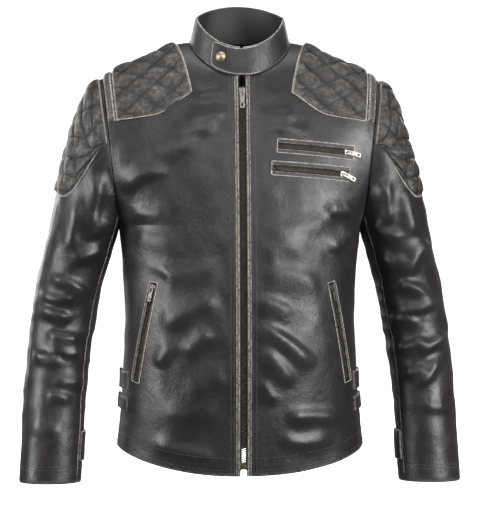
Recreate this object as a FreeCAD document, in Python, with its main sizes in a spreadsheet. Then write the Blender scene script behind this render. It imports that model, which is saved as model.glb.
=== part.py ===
"""A riding jacket in leather, standing open and empty as it is worn.

The garment faces -Y and the wearer's left is +X. Heights are first worked out in garment
coordinates, with z = 0 at the lowest point of the front hem, and then moved so that the row
frame's origin is the middle of the hanger loop inside the back of the collar.
"""
import FreeCAD, Part
import math
import os

from FreeCAD import Vector

DOC = FreeCAD.newDocument("riding_jacket")
SHEET = DOC.addObject("Spreadsheet::Sheet", "dimensions")

# alias: (millimetres or degrees, what it is)
DIMENSIONS = {
    "loop_height": (655.0, "hanger loop above the lowest point of the hem"),
    "loop_inset": (21.0, "hanger loop inside the outer face of the back"),
    "hem_side": (38.0, "hem height at the side seam"),
    "hem_back_drop": (18.0, "how much lower the back of the hem hangs than its sides"),
    "armpit_height": (375.0, "lowest point of the armhole"),
    "shoulder_height": (603.0, "highest point of the armhole"),
    "neck_height": (660.0, "neck seam at the side of the neck"),
    "armpit_reach": (187.0, "armpit from the centre line"),
    "shoulder_reach": (212.0, "shoulder point from the centre line"),
    "armhole_half": (62.0, "half the front-to-back width of the armhole"),
    "neck_front_drop": (57.5, "front of the neck seam below its side"),
    "neck_back_rise": (6.0, "back of the neck seam above its side"),
    "belly_depth": (130.0, "front of the jacket from the side seam, at its fullest"),
    "belly_height": (150.0, "height of the fullest point of the front"),
    "front_radius": (1613.0, "radius of the arc that the centre front follows"),
    "leather": (1.4, "thickness of the shell leather"),
    "lining": (0.8, "thickness of the lining"),
    "lining_gap": (10.0, "outer face of the leather to the lining of the body"),
    "sleeve_lining_gap": (3.0, "outer face of the leather to the lining of a sleeve"),
    "quilt": (5.0, "thickness of the quilted padding"),
    "strip": (3.0, "thickness of the strip beside the armhole"),
    "strip_width": (13.0, "width of the strip beside the armhole"),
    "seam_gap": (0.2, "half the gap between two panels at a seam"),
    "lift": (0.4, "gap under a piece that lies on the shell"),
    "quilt_lift": (1.3, "gap under a quilted piece, which bends both ways"),
    "zip_gap": (6.0, "edge of a front panel from the centre line"),
    "binding_width": (5.5, "width of the rolled edge beside the main zip"),
    "binding_height": (1.8, "height of that edge above the leather"),
    "facing_width": (38.0, "width of the leather facing inside the front"),
    "hem_band": (24.0, "height of the leather band inside the hem"),
    "cuff_band": (0.07, "share of the sleeve's length that the leather inside a cuff covers"),
    "main_depth": (3.0, "middle of the main zip's tape below the face of the leather"),
    "small_depth": (2.3, "middle of a pocket zip's tape below the face of the leather"),
    "tape": (0.8, "thickness of a zip tape"),
    "slot": (0.45, "half the gap between the two rows of teeth"),
    "main_tape": (15.0, "width of half the main zip"),
    "main_tooth": (3.0, "length of a tooth of the main zip"),
    "main_pitch": (3.2, "pitch of the teeth of the main zip"),
    "tooth_height": (2.6, "height of a tooth through the tape"),
    "tooth_cord": (0.9, "thickness of the cord that the teeth grip"),
    "small_tape": (8.0, "width of half a pocket zip"),
    "small_tooth": (2.2, "length of a tooth of a pocket zip"),
    "small_pitch": (2.6, "pitch of the teeth of a pocket zip"),
    "zip_slot": (4.1, "half the width of the slot in the leather over a pocket zip"),
    "main_slider_width": (10.0, "width of the main slider"),
    "main_slider_length": (13.5, "length of the main slider"),
    "small_slider_width": (7.6, "width of a pocket slider"),
    "small_slider_length": (10.0, "length of a pocket slider"),
    "plate": (1.1, "thickness of a slider's plates"),
    "plate_gap": (1.7, "slider plate from the middle of the tape"),
    "web": (0.5, "thickness of the web that joins a slider's plates"),
    "main_bail": (2.0, "width of the main slider's bail"),
    "small_bail": (1.4, "width of a pocket slider's bail"),
    "bail_height": (2.8, "inside height of a bail"),
    "bail_bar": (1.1, "thickness of a bail"),
    "bail_reach": (3.4, "half the length of a bail"),
    "pull_rise": (1.4, "middle of a pull above the slider's plate"),
    "pull_thickness": (1.2, "thickness of a pull"),
    "eye_bar": (0.7, "half the width of a pull's crosspiece"),
    "eye_length": (5.3, "length of a pull's eye"),
    "main_pull_width": (7.0, "width of the main pull"),
    "main_pull_length": (27.0, "length of the main pull"),
    "small_pull_width": (6.2, "width of a pocket pull"),
    "small_pull_length": (21.0, "length of a pocket pull"),
    "chest_lip": (6.3, "width of the lips beside a chest zip"),
    "hand_lip": (4.2, "width of the lips beside a hand pocket's zip"),
    "lip_height": (0.6, "height of those lips above the leather"),
    "snap_cap": (15.0, "diameter of a snap's cap"),
    "snap_dome": (2.6, "height of a snap's cap"),
    "snap_stud": (9.0, "diameter of a snap's stud"),
    "collar_rise_front": (44.5, "height of the collar at the front"),
    "collar_rise_side": (39.0, "height of the collar at the side"),
    "collar_rise_back": (57.0, "height of the collar at the back"),
    "collar_gap": (2.5, "front edge of the collar from the centre line"),
    "collar_leather": (2.4, "thickness of the collar's shell"),
    "tab": (2.2, "thickness of the collar's tab and the cuff tabs"),
    "strap": (3.0, "thickness of the straps at the waist"),
}


def fill_sheet():
    for row, (alias, (value, words)) in enumerate(DIMENSIONS.items(), start=1):
        SHEET.set(f"A{row}", words)
        SHEET.set(f"B{row}", str(value))
        SHEET.setAlias(f"B{row}", alias)
    DOC.recompute()


fill_sheet()


def size(alias):
    return float(SHEET.get(alias))


def bind(obj, prop, formula):
    """Binds a property to the sheet; each word of the formula that is an alias is a cell."""
    words = [f"dimensions.{w}" if w in DIMENSIONS else w for w in formula.split()]
    obj.setExpression(prop, " ".join(words))


# ---------------------------------------------------------------- shape functions

def smooth(x):
    x = max(0.0, min(1.0, x))
    return x * x * (3 - 2 * x)


def curve(points, x):
    """A monotone cubic through (x, y) points, which never overshoots them."""
    xs, ys = [p[0] for p in points], [p[1] for p in points]
    if x <= xs[0]:
        return ys[0]
    if x >= xs[-1]:
        return ys[-1]
    slopes = [(ys[i + 1] - ys[i]) / (xs[i + 1] - xs[i]) for i in range(len(xs) - 1)]
    tangents = [slopes[0]]
    for a, b in zip(slopes, slopes[1:]):
        tangents.append(0.0 if a * b <= 0 else 2 * a * b / (a + b))
    tangents.append(slopes[-1])
    i = max(k for k in range(len(xs) - 1) if xs[k] <= x)
    w = xs[i + 1] - xs[i]
    u = (x - xs[i]) / w
    return (ys[i] * (1 + 2 * u) * (1 - u) ** 2 + tangents[i] * w * u * (1 - u) ** 2
            + ys[i + 1] * u * u * (3 - 2 * u) + tangents[i + 1] * w * u * u * (u - 1))


ARMPIT, SHOULDER, NECK = size("armpit_height"), size("shoulder_height"), size("neck_height")
HEM = size("hem_side")
BODY_WIDTH = [(38, 190), (120, 182), (230, 179), (320, 182), (375, 187)]
RIDGE = [(603, 212), (617, 186), (632, 151), (646, 124), (655, 103), (660, 77)]
BACK_DEPTH = [(38, 106), (130, 97), (220, 94), (330, 104), (440, 118), (540, 108), (610, 88), (660, 66)]


def armhole_reach(z):
    """The armhole plane's distance from the centre line at height z."""
    share = (z - ARMPIT) / (SHOULDER - ARMPIT)
    return size("armpit_reach") + (size("shoulder_reach") - size("armpit_reach")) * share


def shoulder_edge(z):
    return armhole_reach(min(z, SHOULDER))


def front_profile(z):
    """How far the centre front stands forward of the side seam at height z."""
    r = size("front_radius")
    return size("belly_depth") - r + math.sqrt(r * r - (z - size("belly_height")) ** 2)


def front_drop(h):
    return HEM * (1 - smooth((h - HEM) / 160)) + size("neck_front_drop") * smooth((h - 430) / (NECK - 430))


def back_rise(h):
    return (size("neck_back_rise") * smooth((h - 560) / (NECK - 560))
            - size("hem_back_drop") * (1 - smooth((h - HEM) / 160)))


def depth(h, front):
    return front_profile(h - front_drop(h)) if front else curve(BACK_DEPTH, h)


def half_width(h, front):
    if h <= ARMPIT:
        return curve(BODY_WIDTH, h)
    if h >= SHOULDER:
        return curve(RIDGE, h)
    middle, half = (ARMPIT + SHOULDER) / 2, (SHOULDER - ARMPIT) / 2
    open_half = size("armhole_half") * math.sqrt(max(0.0, 1 - ((h - middle) / half) ** 2))
    return armhole_reach(h) / math.sqrt(1 - (open_half / depth(h, front)) ** 2)


def roundness(h):
    return 2.3 - 0.3 * smooth((h - 560) / (NECK - 560))


def body_point(angle, h):
    """A point of the body's outer face: angle 0 is the wearer's left side, 90 degrees the front."""
    front = math.sin(angle) >= 0
    n = roundness(h)
    c, k = math.cos(angle), abs(math.sin(angle))
    across = math.copysign(abs(c) ** (2 / n), c)
    forward = k ** (2 / n)
    x = half_width(h, front) * across
    if front:
        fall = 2 - 0.65 * smooth((h - 560) / (NECK - 560))
        return Vector(x, -depth(h, True) * forward, h - front_drop(h) * forward ** fall)
    return Vector(x, depth(h, False) * forward, h + back_rise(h) * forward ** 2)


def normal_of(surface, u, v, du, dv, outward):
    """The unit normal of a surface function at (u, v), on the side that points outward."""
    along_u = surface(u + du, v) - surface(u - du, v)
    along_v = surface(u, v + dv) - surface(u, v - dv)
    n = along_u.cross(along_v)
    n.normalize()
    return n if n.dot(outward) > 0 else n * -1


def body_normal(angle, h):
    h = max(HEM + 1, min(NECK - 1, h))
    outward = body_point(angle, h) - Vector(0, 0, h - 60 * smooth((h - 560) / 100))
    return normal_of(body_point, angle, h, 0.01, 0.8, outward)


def body(angle, h, out):
    """A point out millimetres outside the body's outer face."""
    return body_point(angle, h) + body_normal(angle, h) * out


def ridge_height(x):
    """The height at which the body's side reaches x, between the shoulder point and the neck."""
    low, high = ARMPIT, NECK
    for _ in range(40):
        h = (low + high) / 2
        if half_width(h, True) > x:
            low = h
        else:
            high = h
    return low


def front_at(x, z, front=True):
    """(angle, h) of the body's point that has this x and z, on its front or back."""
    low, high = HEM, NECK if abs(x) < half_width(NECK, front) else ridge_height(abs(x))
    for _ in range(44):
        h = (low + high) / 2
        n = roundness(h)
        across = min(1.0, abs(x) / half_width(h, front))
        forward = (1 - across ** n) ** (1 / n)
        reached = h + (-front_drop(h) if front else back_rise(h)) * forward ** 2
        if reached < z:
            low = h
        else:
            high = h
    angle = math.atan2(forward ** (n / 2), across ** (n / 2))
    angle = angle if x >= 0 else math.pi - angle
    return (angle if front else -angle), h


def on_body(x, z, out, front=True):
    angle, h = front_at(x, z, front)
    return body(angle, h, out)


# A sleeve is rings between an outer line (towards the arm's outside) and an inner line, both
# in the plane of the shoulders: (share of the sleeve's length, x, z).
OUTER = [(0, 212, 603), (.05, 229, 592), (.10, 241, 571), (.18, 256, 527), (.28, 272, 472), (.38, 287, 408),
         (.48, 300, 345), (.57, 314, 285), (.66, 323, 226), (.76, 329, 165), (.87, 334, 88), (1, 339, -16)]
INNER = [(0, 187, 375), (.05, 187.3, 372), (.10, 187.8, 369), (.18, 189, 364), (.28, 191, 356), (.38, 196, 341),
         (.48, 204, 313), (.57, 213, 278), (.66, 221, 236), (.76, 231, 172), (.87, 238, 90), (1, 244, -16)]
SLEEVE_HALF = [(0, 62), (.2, 68), (.4, 66), (.57, 58), (.7, 52), (.85, 46), (1, 42)]
SLEEVE_SHIFT = [(0, 0), (.4, 2), (.62, 4), (.8, -10), (1, -30)]


def line_point(line, share):
    return Vector(curve([(k, x) for k, x, _ in line], share), 0, curve([(k, z) for k, _, z in line], share))


def armhole_point(turn):
    """The armhole seam: turn 0 is the shoulder point and 90 degrees the front."""
    middle, half = (ARMPIT + SHOULDER) / 2, (SHOULDER - ARMPIT) / 2
    h = middle + half * math.cos(turn)
    front = math.sin(turn) >= 0
    low, high = 0.0, math.pi / 2
    for _ in range(40):
        angle = (low + high) / 2
        p = body_point(angle if front else -angle, h)
        if p.x > armhole_reach(p.z):
            low = angle
        else:
            high = angle
    return body_point(low if front else -low, h)


def sleeve_oval(turn, share):
    outer, inner = line_point(OUTER, share), line_point(INNER, share)
    middle, reach = (outer + inner) * 0.5, (outer - inner) * 0.5
    sideways = curve(SLEEVE_HALF, share) * math.sin(turn)
    return middle + reach * math.cos(turn) + Vector(0, curve(SLEEVE_SHIFT, share) - sideways, 0)


def sleeve_point(turn, share, seam={}):
    """A point of the left sleeve's outer face: turn 0 is the outside of the arm, 90 the front."""
    if not seam:
        steps = 72
        for k in range(steps + 1):
            at = 2 * math.pi * k / steps
            seam[k] = armhole_point(at) - sleeve_oval(at, 0)
    place = (turn / (2 * math.pi)) % 1 * 72
    k = min(71, int(place))
    difference = seam[k] * (k + 1 - place) + seam[k + 1] * (place - k)
    return sleeve_oval(turn, share) + difference * (1 - smooth(share / 0.3))


def sleeve(turn, share, out):
    share = max(0.0, min(1.0, share))
    at = max(0.006, min(0.994, share))
    centre = (line_point(OUTER, share) + line_point(INNER, share)) * 0.5
    outward = sleeve_point(turn, share) - centre
    return sleeve_point(turn, share) + normal_of(sleeve_point, turn, at, 0.02, 0.005, outward) * out


def collar_point(angle, k):
    """A point of the collar's outer face, from its seam (k = 0) to its top edge (k = 1)."""
    base = body_point(angle, NECK)
    front = math.sin(angle) >= 0
    forward = abs(math.sin(angle))
    rise = size("collar_rise_side")
    target = size("collar_rise_front") if front else size("collar_rise_back")
    rise += (target - rise) * forward ** 1.35
    shrink = 1 - 0.115 * k
    ahead = 1 - 0.10 * k if front else 1 - 0.02 * k
    return Vector(base.x * shrink, base.y * ahead, base.z + rise * k)


def collar(angle, k, out):
    outward = Vector(math.cos(angle), -math.sin(angle), 0)
    normal = normal_of(collar_point, angle, k, 0.02, 0.02, outward)
    return collar_point(angle, k) + normal * out


# ---------------------------------------------------------------- building solids

ORIGIN = on_body(0, size("loop_height"), -size("loop_inset"), False)
KEPT = []


def keep(obj, label):
    obj.Label = label
    KEPT.append(obj)
    return obj


def feature(label, solids):
    """A document object that holds shapes worked out from the sheet, moved to the row frame."""
    obj = DOC.addObject("Part::Feature", label)
    shape = solids[0] if len(solids) == 1 else Part.makeCompound(solids)
    obj.Shape = shape.translated(ORIGIN * -1)
    return keep(obj, label)


def mirrored(shape):
    return shape.mirror(Vector(0, 0, 0), Vector(1, 0, 0))


def hermite(points, knots):
    """The poles of a smooth cubic through the points, which has them at the given knots."""
    steps = [b - a for a, b in zip(knots, knots[1:])]
    slopes = [(q - p) * (1 / s) for p, q, s in zip(points, points[1:], steps)]
    tangents = [(a * t + b * s) * (1 / (s + t)) for a, b, s, t in zip(slopes, slopes[1:], steps, steps[1:])]
    tangents = [slopes[0] * 1.5 - tangents[0] * 0.5] + tangents + [slopes[-1] * 1.5 - tangents[-1] * 0.5]
    poles = [points[0]]
    for k, s in enumerate(steps):
        poles += [points[k] + tangents[k] * (s / 3), points[k + 1] - tangents[k + 1] * (s / 3)]
    return poles + [points[-1]]


def patch(rows, u_knots, v_knots, degree):
    """A surface from rows of poles, cubic along v and of the given degree along u."""
    surface = Part.BSplineSurface()
    inner = 2 if degree == 3 else 1
    u_mults = [degree + 1] + [inner] * (len(u_knots) - 2) + [degree + 1]
    v_mults = [4] + [2] * (len(v_knots) - 2) + [4]
    surface.buildFromPolesMultsKnots(rows, u_mults, v_mults, u_knots, v_knots, False, False, degree, 3)
    return surface.toShape()


def skin(place, us, vs, low, high, shift=Vector(0, 0, 0)):
    """A closed sheet between two offsets of a surface, over a grid of its parameters."""
    us = us if us[0] < us[-1] else us[::-1]
    nets = []
    for out in (low, high):
        rows = [hermite([place(u, v, out) + shift for v in vs], vs) for u in us]
        columns = [hermite(list(column), us) for column in zip(*rows)]
        nets.append([list(row) for row in zip(*columns)])
    faces = [patch(net, us, vs, 3) for net in nets]
    for k in (0, -1):
        faces.append(patch([net[k] for net in nets], [0.0, 1.0], vs, 1))
        faces.append(patch([[row[k] for row in net] for net in nets], [0.0, 1.0], us, 1))
    shell = Part.makeShell(faces)
    shell.sewShape()
    solid = Part.makeSolid(shell if shell.ShapeType == "Shell" else shell.Shells[0])
    if solid.Volume < 0:
        solid.reverse()
    return solid


def span(low, high, count):
    return [low + (high - low) * k / (count - 1) for k in range(count)]


def armhole_knife(gap):
    """A block that holds what lies beyond the armhole plane, gap millimetres outside it."""
    lean = math.atan2(size("shoulder_reach") - size("armpit_reach"), SHOULDER - ARMPIT)
    block = Part.makeBox(400, 600, 600, Vector(0, -300, 0))
    block.rotate(Vector(0, 0, 0), Vector(0, 1, 0), math.degrees(lean))
    return block.translated(Vector(size("armpit_reach") + gap, 0, ARMPIT))


KNIFE = armhole_knife(-size("seam_gap"))
HEIGHTS = (span(HEM, ARMPIT - 12, 12) + span(ARMPIT, SHOULDER, 16) + [607, 612, 618, 625, 633, 641, 648, 653, 657]
           + [NECK])


def panel(first, last, low, high, shift, heights=HEIGHTS, count=16):
    """A panel of the body between two angles given as functions of the height."""
    def place(u, h, out):
        start, end = first(h), last(h)
        return body(start + (end - start) * u, h, out)
    solid = skin(place, span(0, 1, count), heights, low, high, shift)
    return solid.cut(KNIFE).cut(mirrored(KNIFE))


def edge_angle(distance, h):
    """The angle of the front at which the body is this far from the centre line."""
    across = distance / half_width(h, True)
    n = roundness(h)
    return math.atan2((1 - across ** n) ** 0.5, across ** (n / 2))


def shell_panels():
    gap, leather = size("seam_gap"), size("leather")
    forward, backward = Vector(0, -gap, 0), Vector(0, gap, 0)
    left = panel(lambda h: edge_angle(size("zip_gap"), h), lambda h: 0.0, -leather, 0, forward)
    feature("front_panel_left", [left])
    feature("front_panel_right", [mirrored(left)])
    feature("back_panel", [panel(lambda h: 0.0, lambda h: -math.pi, -leather, 0, backward, count=25)])
    low = -size("lining_gap") - size("lining")
    heights = [HEM + 14] + [h for h in HEIGHTS if HEM + 30 < h < NECK - 9] + [NECK - 6]
    edge = size("zip_gap") + size("facing_width")
    inner = panel(lambda h: edge_angle(edge, h), lambda h: 0.0, low, -size("lining_gap"), forward * 4, heights)
    feature("front_linings", [inner, mirrored(inner)])
    feature("back_lining", [panel(lambda h: 0.0, lambda h: -math.pi, low, -size("lining_gap"), backward * 4,
                                  heights, 25)])
    facing = panel(lambda h: edge_angle(size("zip_gap") + 2, h), lambda h: edge_angle(edge - 1, h),
                   low + 0.2, -size("lining_gap"), Vector(0, 0, 0), [HEM + 2] + HEIGHTS[1:-2] + [NECK - 3], 6)
    feature("front_facings", [facing, mirrored(facing)])


FRONT_SEAM, BACK_SEAM = math.radians(150), math.radians(335)
SHARES = [0.004] + [0.03, .06, .1, .15, .2, .26, .32, .38, .44, .5, .56, .62, .68, .74, .8, .86, .93, 1.0]


def sleeves():
    gap, leather = math.radians(0.25), size("leather")
    shift = Vector(size("seam_gap") * 2, 0, 0)
    turns = span(BACK_SEAM - 2 * math.pi + gap, FRONT_SEAM - gap, 20)
    upper = skin(sleeve, turns, SHARES, -leather, 0, shift)
    under = skin(sleeve, span(FRONT_SEAM + gap, BACK_SEAM - gap, 20), SHARES, -leather, 0, shift)
    for name, solid in (("upper_sleeve", upper), ("under_sleeve", under)):
        feature(f"{name}_left", [solid])
        feature(f"{name}_right", [mirrored(solid)])
    low = -size("sleeve_lining_gap") - size("lining")
    turns = span(FRONT_SEAM + gap, FRONT_SEAM + 2 * math.pi - gap, 40)
    inner = skin(sleeve, turns, [0.03] + [s for s in SHARES[2:-1] if s < 0.91] + [0.92], low, -size("sleeve_lining_gap"), shift)
    feature("sleeve_linings", [inner, mirrored(inner)])


# The quilted yoke's corner and lower edge, in front and behind: (x, z) and (share across, z).
YOKE_NECK = 99
YOKE = {True: ((76, 580), [(0, 580), (.45, 543), (1, 532)]), False: ((70, 590), [(0, 590), (.5, 566), (1, 556)])}


def yoke_reach(z, far, front):
    return YOKE_NECK + (YOKE[front][0][0] - YOKE_NECK) * far, shoulder_edge(z) - size("strip_width") - 3


def strip_reach(z, far, front):
    return shoulder_edge(z) - size("strip_width") - 1.5, shoulder_edge(z) - 1.5


def over_shoulder(reach, lower_share):
    """A surface function over the shoulder: across runs from the neck (0) to the arm (1), and
    along from the lower edge in front (-1) over the ridge (0) to the lower edge behind (1)."""
    def place(across, along, out):
        front, far = along < 0, abs(along)
        start, end = reach(SHOULDER, 0, front)
        ridge = start + (end - start) * across
        if far == 0:
            return body(0.0, ridge_height(ridge), out)
        top = ridge_height(ridge)
        z = top + (curve(YOKE[front][1], lower_share(across)) - top) * far ** 2
        start, end = reach(z, far, front)
        x = start + (end - start) * across
        angle, h = front_at(x, z, front)
        return body(angle, h, out)
    return place


def cap_place(turn, k, out):
    """The quilted cap's surface on the sleeve, from the armhole (k = 0) to its rounded end."""
    end = 0.05 + 0.30 * (1 - abs(turn / CAP_HALF) ** 7)
    return sleeve(turn, 0.03 + (end - 0.03) * k, out)


CAP_HALF = math.radians(80)


def pair(name, solid):
    feature(f"{name}_left", [solid])
    feature(f"{name}_right", [mirrored(solid)])


def quilting():
    lift = size("quilt_lift")
    alongs = [-1, -.85, -.7, -.55, -.42, -.3, -.2, -.12, -.05, .05, .12, .2, .3, .42, .55, .7, .85, 1]
    yoke = over_shoulder(yoke_reach, lambda across: across * 0.93)
    pair("shoulder_yoke", skin(yoke, span(0, 1, 9), alongs, lift, lift + size("quilt")))
    strip = over_shoulder(strip_reach, lambda across: 0.95 + 0.05 * across)
    pair("shoulder_strip", skin(strip, span(0, 1, 4), alongs, lift, lift + size("strip")))
    cap = skin(cap_place, span(-CAP_HALF, CAP_HALF, 21), span(0, 1, 12), lift, lift + size("quilt"))
    pair("sleeve_cap", cap)


# ---------------------------------------------------------------- zips

class Track:
    """The arc that a zip follows: from its first point to its last, bulging towards outward."""

    def __init__(self, first, middle, last, outward, sink):
        chord = last - first
        self.length = chord.Length
        self.ahead = chord.normalize()
        outward = outward - self.ahead * outward.dot(self.ahead)
        self.out = outward.normalize()
        centre = (first + last) * 0.5
        rise = (middle - centre).dot(self.out)
        rise = math.copysign(max(abs(rise), 0.3), rise)
        self.radius = (self.length ** 2 / 4 + rise ** 2) / (2 * rise)
        self.centre = centre + self.out * (rise - self.radius)
        self.sink = sink
        self.radius -= sink
        self.half = abs(self.radius) * math.asin(self.length / 2 / abs(self.radius + sink))
        self.side = self.ahead.cross(self.out)

    def axes(self, along):
        """(point, direction of travel, outward) at a distance along the arc from its middle."""
        turn = along / self.radius
        ahead = self.ahead * math.cos(turn) - self.out * math.sin(turn)
        out = self.out * math.cos(turn) + self.ahead * math.sin(turn)
        return self.centre + out * self.radius, ahead, out

    def point(self, along, lift=0.0, aside=0.0):
        place, _, out = self.axes(along)
        return place + out * lift + self.side * aside

    def placement(self, along, twist=0.0):
        """Where a piece drawn with x aside, y along and z outward goes on the zip."""
        place, ahead, out = self.axes(along)
        place = place - ORIGIN
        x, y, z = self.side, ahead, out
        cells = (x.x, y.x, z.x, place.x, x.y, y.y, z.y, place.y, x.z, y.z, z.z, place.z, 0, 0, 0, 1)
        turned = FreeCAD.Placement(Vector(0, 0, 0), FreeCAD.Rotation(Vector(0, 0, 1), twist))
        return FreeCAD.Placement(FreeCAD.Matrix(*cells)).multiply(turned)

    def band(self, outline, aside, width):
        """A closed outline of (along, lift) points, drawn aside of the zip and made width wide."""
        points = [self.point(along, lift, aside) for along, lift in outline]
        wire = Part.makePolygon(points + points[:1])
        return Part.Face(wire).extrude(self.side * width)

    def teeth(self, start, end, pitch, tooth, offset):
        """One row of teeth, with the cord that joins them, on the side that offset's sign gives."""
        thin, thick = size("tooth_cord") / 2, size("tooth_height") / 2
        count = int((end - start) / pitch)
        upper = []
        for k in range(count):
            a = start + k * pitch
            upper += [(a, thin), (a + pitch * 0.25, thin), (a + pitch * 0.25, thick), (a + pitch * 0.75, thick),
                      (a + pitch * 0.75, thin)]
        outline = upper + [(along, -lift) for along, lift in reversed(upper)]
        aside = offset if offset > 0 else offset - tooth
        return self.band(outline, aside, tooth)


def chest_track(start, end):
    """A zip track on the front between two (x, z) points of its leather."""
    points = [on_body(start[0] + (end[0] - start[0]) * k, start[1] + (end[1] - start[1]) * k, 0) for k in (0, .5, 1)]
    angle, h = front_at((start[0] + end[0]) / 2, (start[1] + end[1]) / 2)
    return Track(*points, body_normal(angle, h), size("small_depth"))


def flipped(start, end):
    return (-start[0], start[1]), (-end[0], end[1])


CENTRE_TOP, CENTRE_BOTTOM = 590.0, 9.0
UPPER_CHEST = ((55, 495), (167, 485))
LOWER_CHEST = ((46, 461), (160, 452))
HAND = ((134, 287), (161, 141))


def tracks():
    deep = size("main_depth")
    points = [Vector(0, -front_profile(z), z) for z in (CENTRE_TOP, (CENTRE_TOP + CENTRE_BOTTOM) / 2, CENTRE_BOTTOM)]
    found = {"main": Track(*points, Vector(0, -1, 0), deep)}
    found["chest_upper"] = chest_track(*UPPER_CHEST)
    found["chest_lower"] = chest_track(*LOWER_CHEST)
    found["hand_left"] = chest_track(*HAND)
    found["hand_right"] = chest_track(*flipped(*HAND))
    return found


def beside(track, start, end, near, far, low, high, count=12):
    """A strip on the body's surface beside a pocket zip, between two distances aside of it."""
    def place(aside, along, out):
        spot = track.point(along, track.sink, aside)
        return on_body(spot.x, spot.z, out)
    return skin(place, span(near, far, 4), span(start, end, count), low, high)


def box(name, width, length, height, corner):
    """A Part::Box whose sizes and corner are formulas of the sheet's cells."""
    piece = DOC.addObject("Part::Box", name)
    for prop, formula in zip(("Length", "Width", "Height"), (width, length, height)):
        bind(piece, prop, formula)
    for axis, formula in zip("xyz", corner):
        bind(piece, f"Placement.Base.{axis}", formula)
    return piece


def cylinder(name, radius, height, corner=("0", "0", "0")):
    piece = DOC.addObject("Part::Cylinder", name)
    bind(piece, "Radius", radius)
    bind(piece, "Height", height)
    for axis, formula in zip("xyz", corner):
        bind(piece, f"Placement.Base.{axis}", formula)
    return piece


def joined(name, pieces, placement):
    whole = DOC.addObject("Part::MultiFuse", name)
    whole.Shapes = pieces
    whole.Placement = placement
    return keep(whole, name)


def slider(name, kind, placement):
    """A slider: two plates about the tape, the web between the rows of teeth, and the bail."""
    width, length = f"{kind}_slider_width", f"{kind}_slider_length"
    top = "( plate_gap + plate )"
    pieces = [
        box(f"{name}_top", width, length, "plate", (f"- {width} / 2", f"- {length} / 2", "plate_gap")),
        box(f"{name}_bottom", width, length, "plate", (f"- {width} / 2", f"- {length} / 2", "- plate_gap - plate")),
        box(f"{name}_web", "web", f"{length} * 0.4", "2 * plate_gap + plate",
            ("- web / 2", f"- {length} / 2", "- plate_gap - plate / 2")),
        box(f"{name}_bar", f"{kind}_bail", "2 * bail_reach", "bail_bar",
            (f"- {kind}_bail / 2", "- bail_reach", f"{top} + bail_height")),
    ]
    for end, start in (("near", "- bail_reach"), ("far", "bail_reach - bail_bar")):
        pieces.append(box(f"{name}_{end}_post", f"{kind}_bail", "bail_bar", "bail_height + bail_bar",
                          (f"- {kind}_bail / 2", start, top)))
    return joined(name, pieces, placement)


def pull(name, kind, placement):
    """A pull: a plate with an eye round the bail and a second opening near its free end."""
    width, length = f"{kind}_pull_width", f"{kind}_pull_length"
    level = "plate_gap + plate + pull_rise - pull_thickness / 2"
    plate = box(f"{name}_plate", width, length, "pull_thickness", (f"- {width} / 2", "- eye_bar", level))
    eye = box(f"{name}_eye", f"{width} * 0.66", "eye_length", "pull_thickness * 3",
              (f"- {width} * 0.33", "eye_bar", f"{level} - pull_thickness"))
    window = box(f"{name}_window", f"{width} * 0.46", f"{length} * 0.2", "pull_thickness * 3",
                 (f"- {width} * 0.23", f"{length} * 0.68", f"{level} - pull_thickness"))
    first = DOC.addObject("Part::Cut", f"{name}_with_eye")
    first.Base, first.Tool = plate, eye
    whole = DOC.addObject("Part::Cut", name)
    whole.Base, whole.Tool = first, window
    whole.Placement = placement
    return keep(whole, name)


JOINTS = {}


def metres(vector):
    return [round(c / 1000, 6) for c in vector]


def slide_joint(name, track, at, travel):
    """The slider's swing about its arc's centre: travel is a signed distance along the arc."""
    degrees = math.degrees(travel / track.radius)
    JOINTS[name] = {"pos_m": metres(track.centre - ORIGIN), "axis": [round(c, 6) for c in track.side * -1],
                    "range_deg": sorted([0.0, round(degrees, 4)])}


def pull_joint(name, track, at, twist, limit):
    place, ahead, out = track.axes(at)
    rise = size("plate_gap") + size("plate") + size("pull_rise")
    axis = FreeCAD.Rotation(out, twist).multVec(track.side)
    JOINTS[name] = {"pos_m": metres(place + out * rise - ORIGIN), "axis": [round(c, 6) for c in axis],
                    "range_deg": [0.0, float(limit)]}


def cutter(track, half, lift):
    """A block along a zip's arc that cuts its slot through the leather."""
    ends = span(-track.half - 2, track.half + 2, 14)
    outline = [(a, -lift) for a in ends] + [(a, lift) for a in reversed(ends)]
    return track.band(outline, -half, 2 * half)


def pocket_zip(name, track, lip, at, travel, twist, limit):
    half, slot, tooth = track.half, size("slot"), size("small_tooth")
    feature(f"{name}_teeth", [track.teeth(-half, half, size("small_pitch"), tooth, sign * slot) for sign in (1, -1)])
    level, thick = -size("small_depth"), size("tape") / 2
    near = slot + tooth + 0.25
    tapes = [beside(track, -half - 3, half + 3, sign * near, sign * size("small_tape"), level - thick, level + thick)
             for sign in (1, -1)]
    feature(f"{name}_tape", tapes)
    edge, lift = size("zip_slot") + 0.7, size("lift")
    lips = [beside(track, -half - 4, half + 4, sign * edge, sign * (edge + lip), lift, lift + size("lip_height"))
            for sign in (1, -1)]
    feature(f"{name}_lips", lips)
    slider(f"{name}_slider", "small", track.placement(at))
    pull(f"{name}_pull", "small", track.placement(at, twist))
    slide_joint(f"{name}_slider", track, at, travel)
    pull_joint(f"{name}_pull", track, at, twist, limit)


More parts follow.
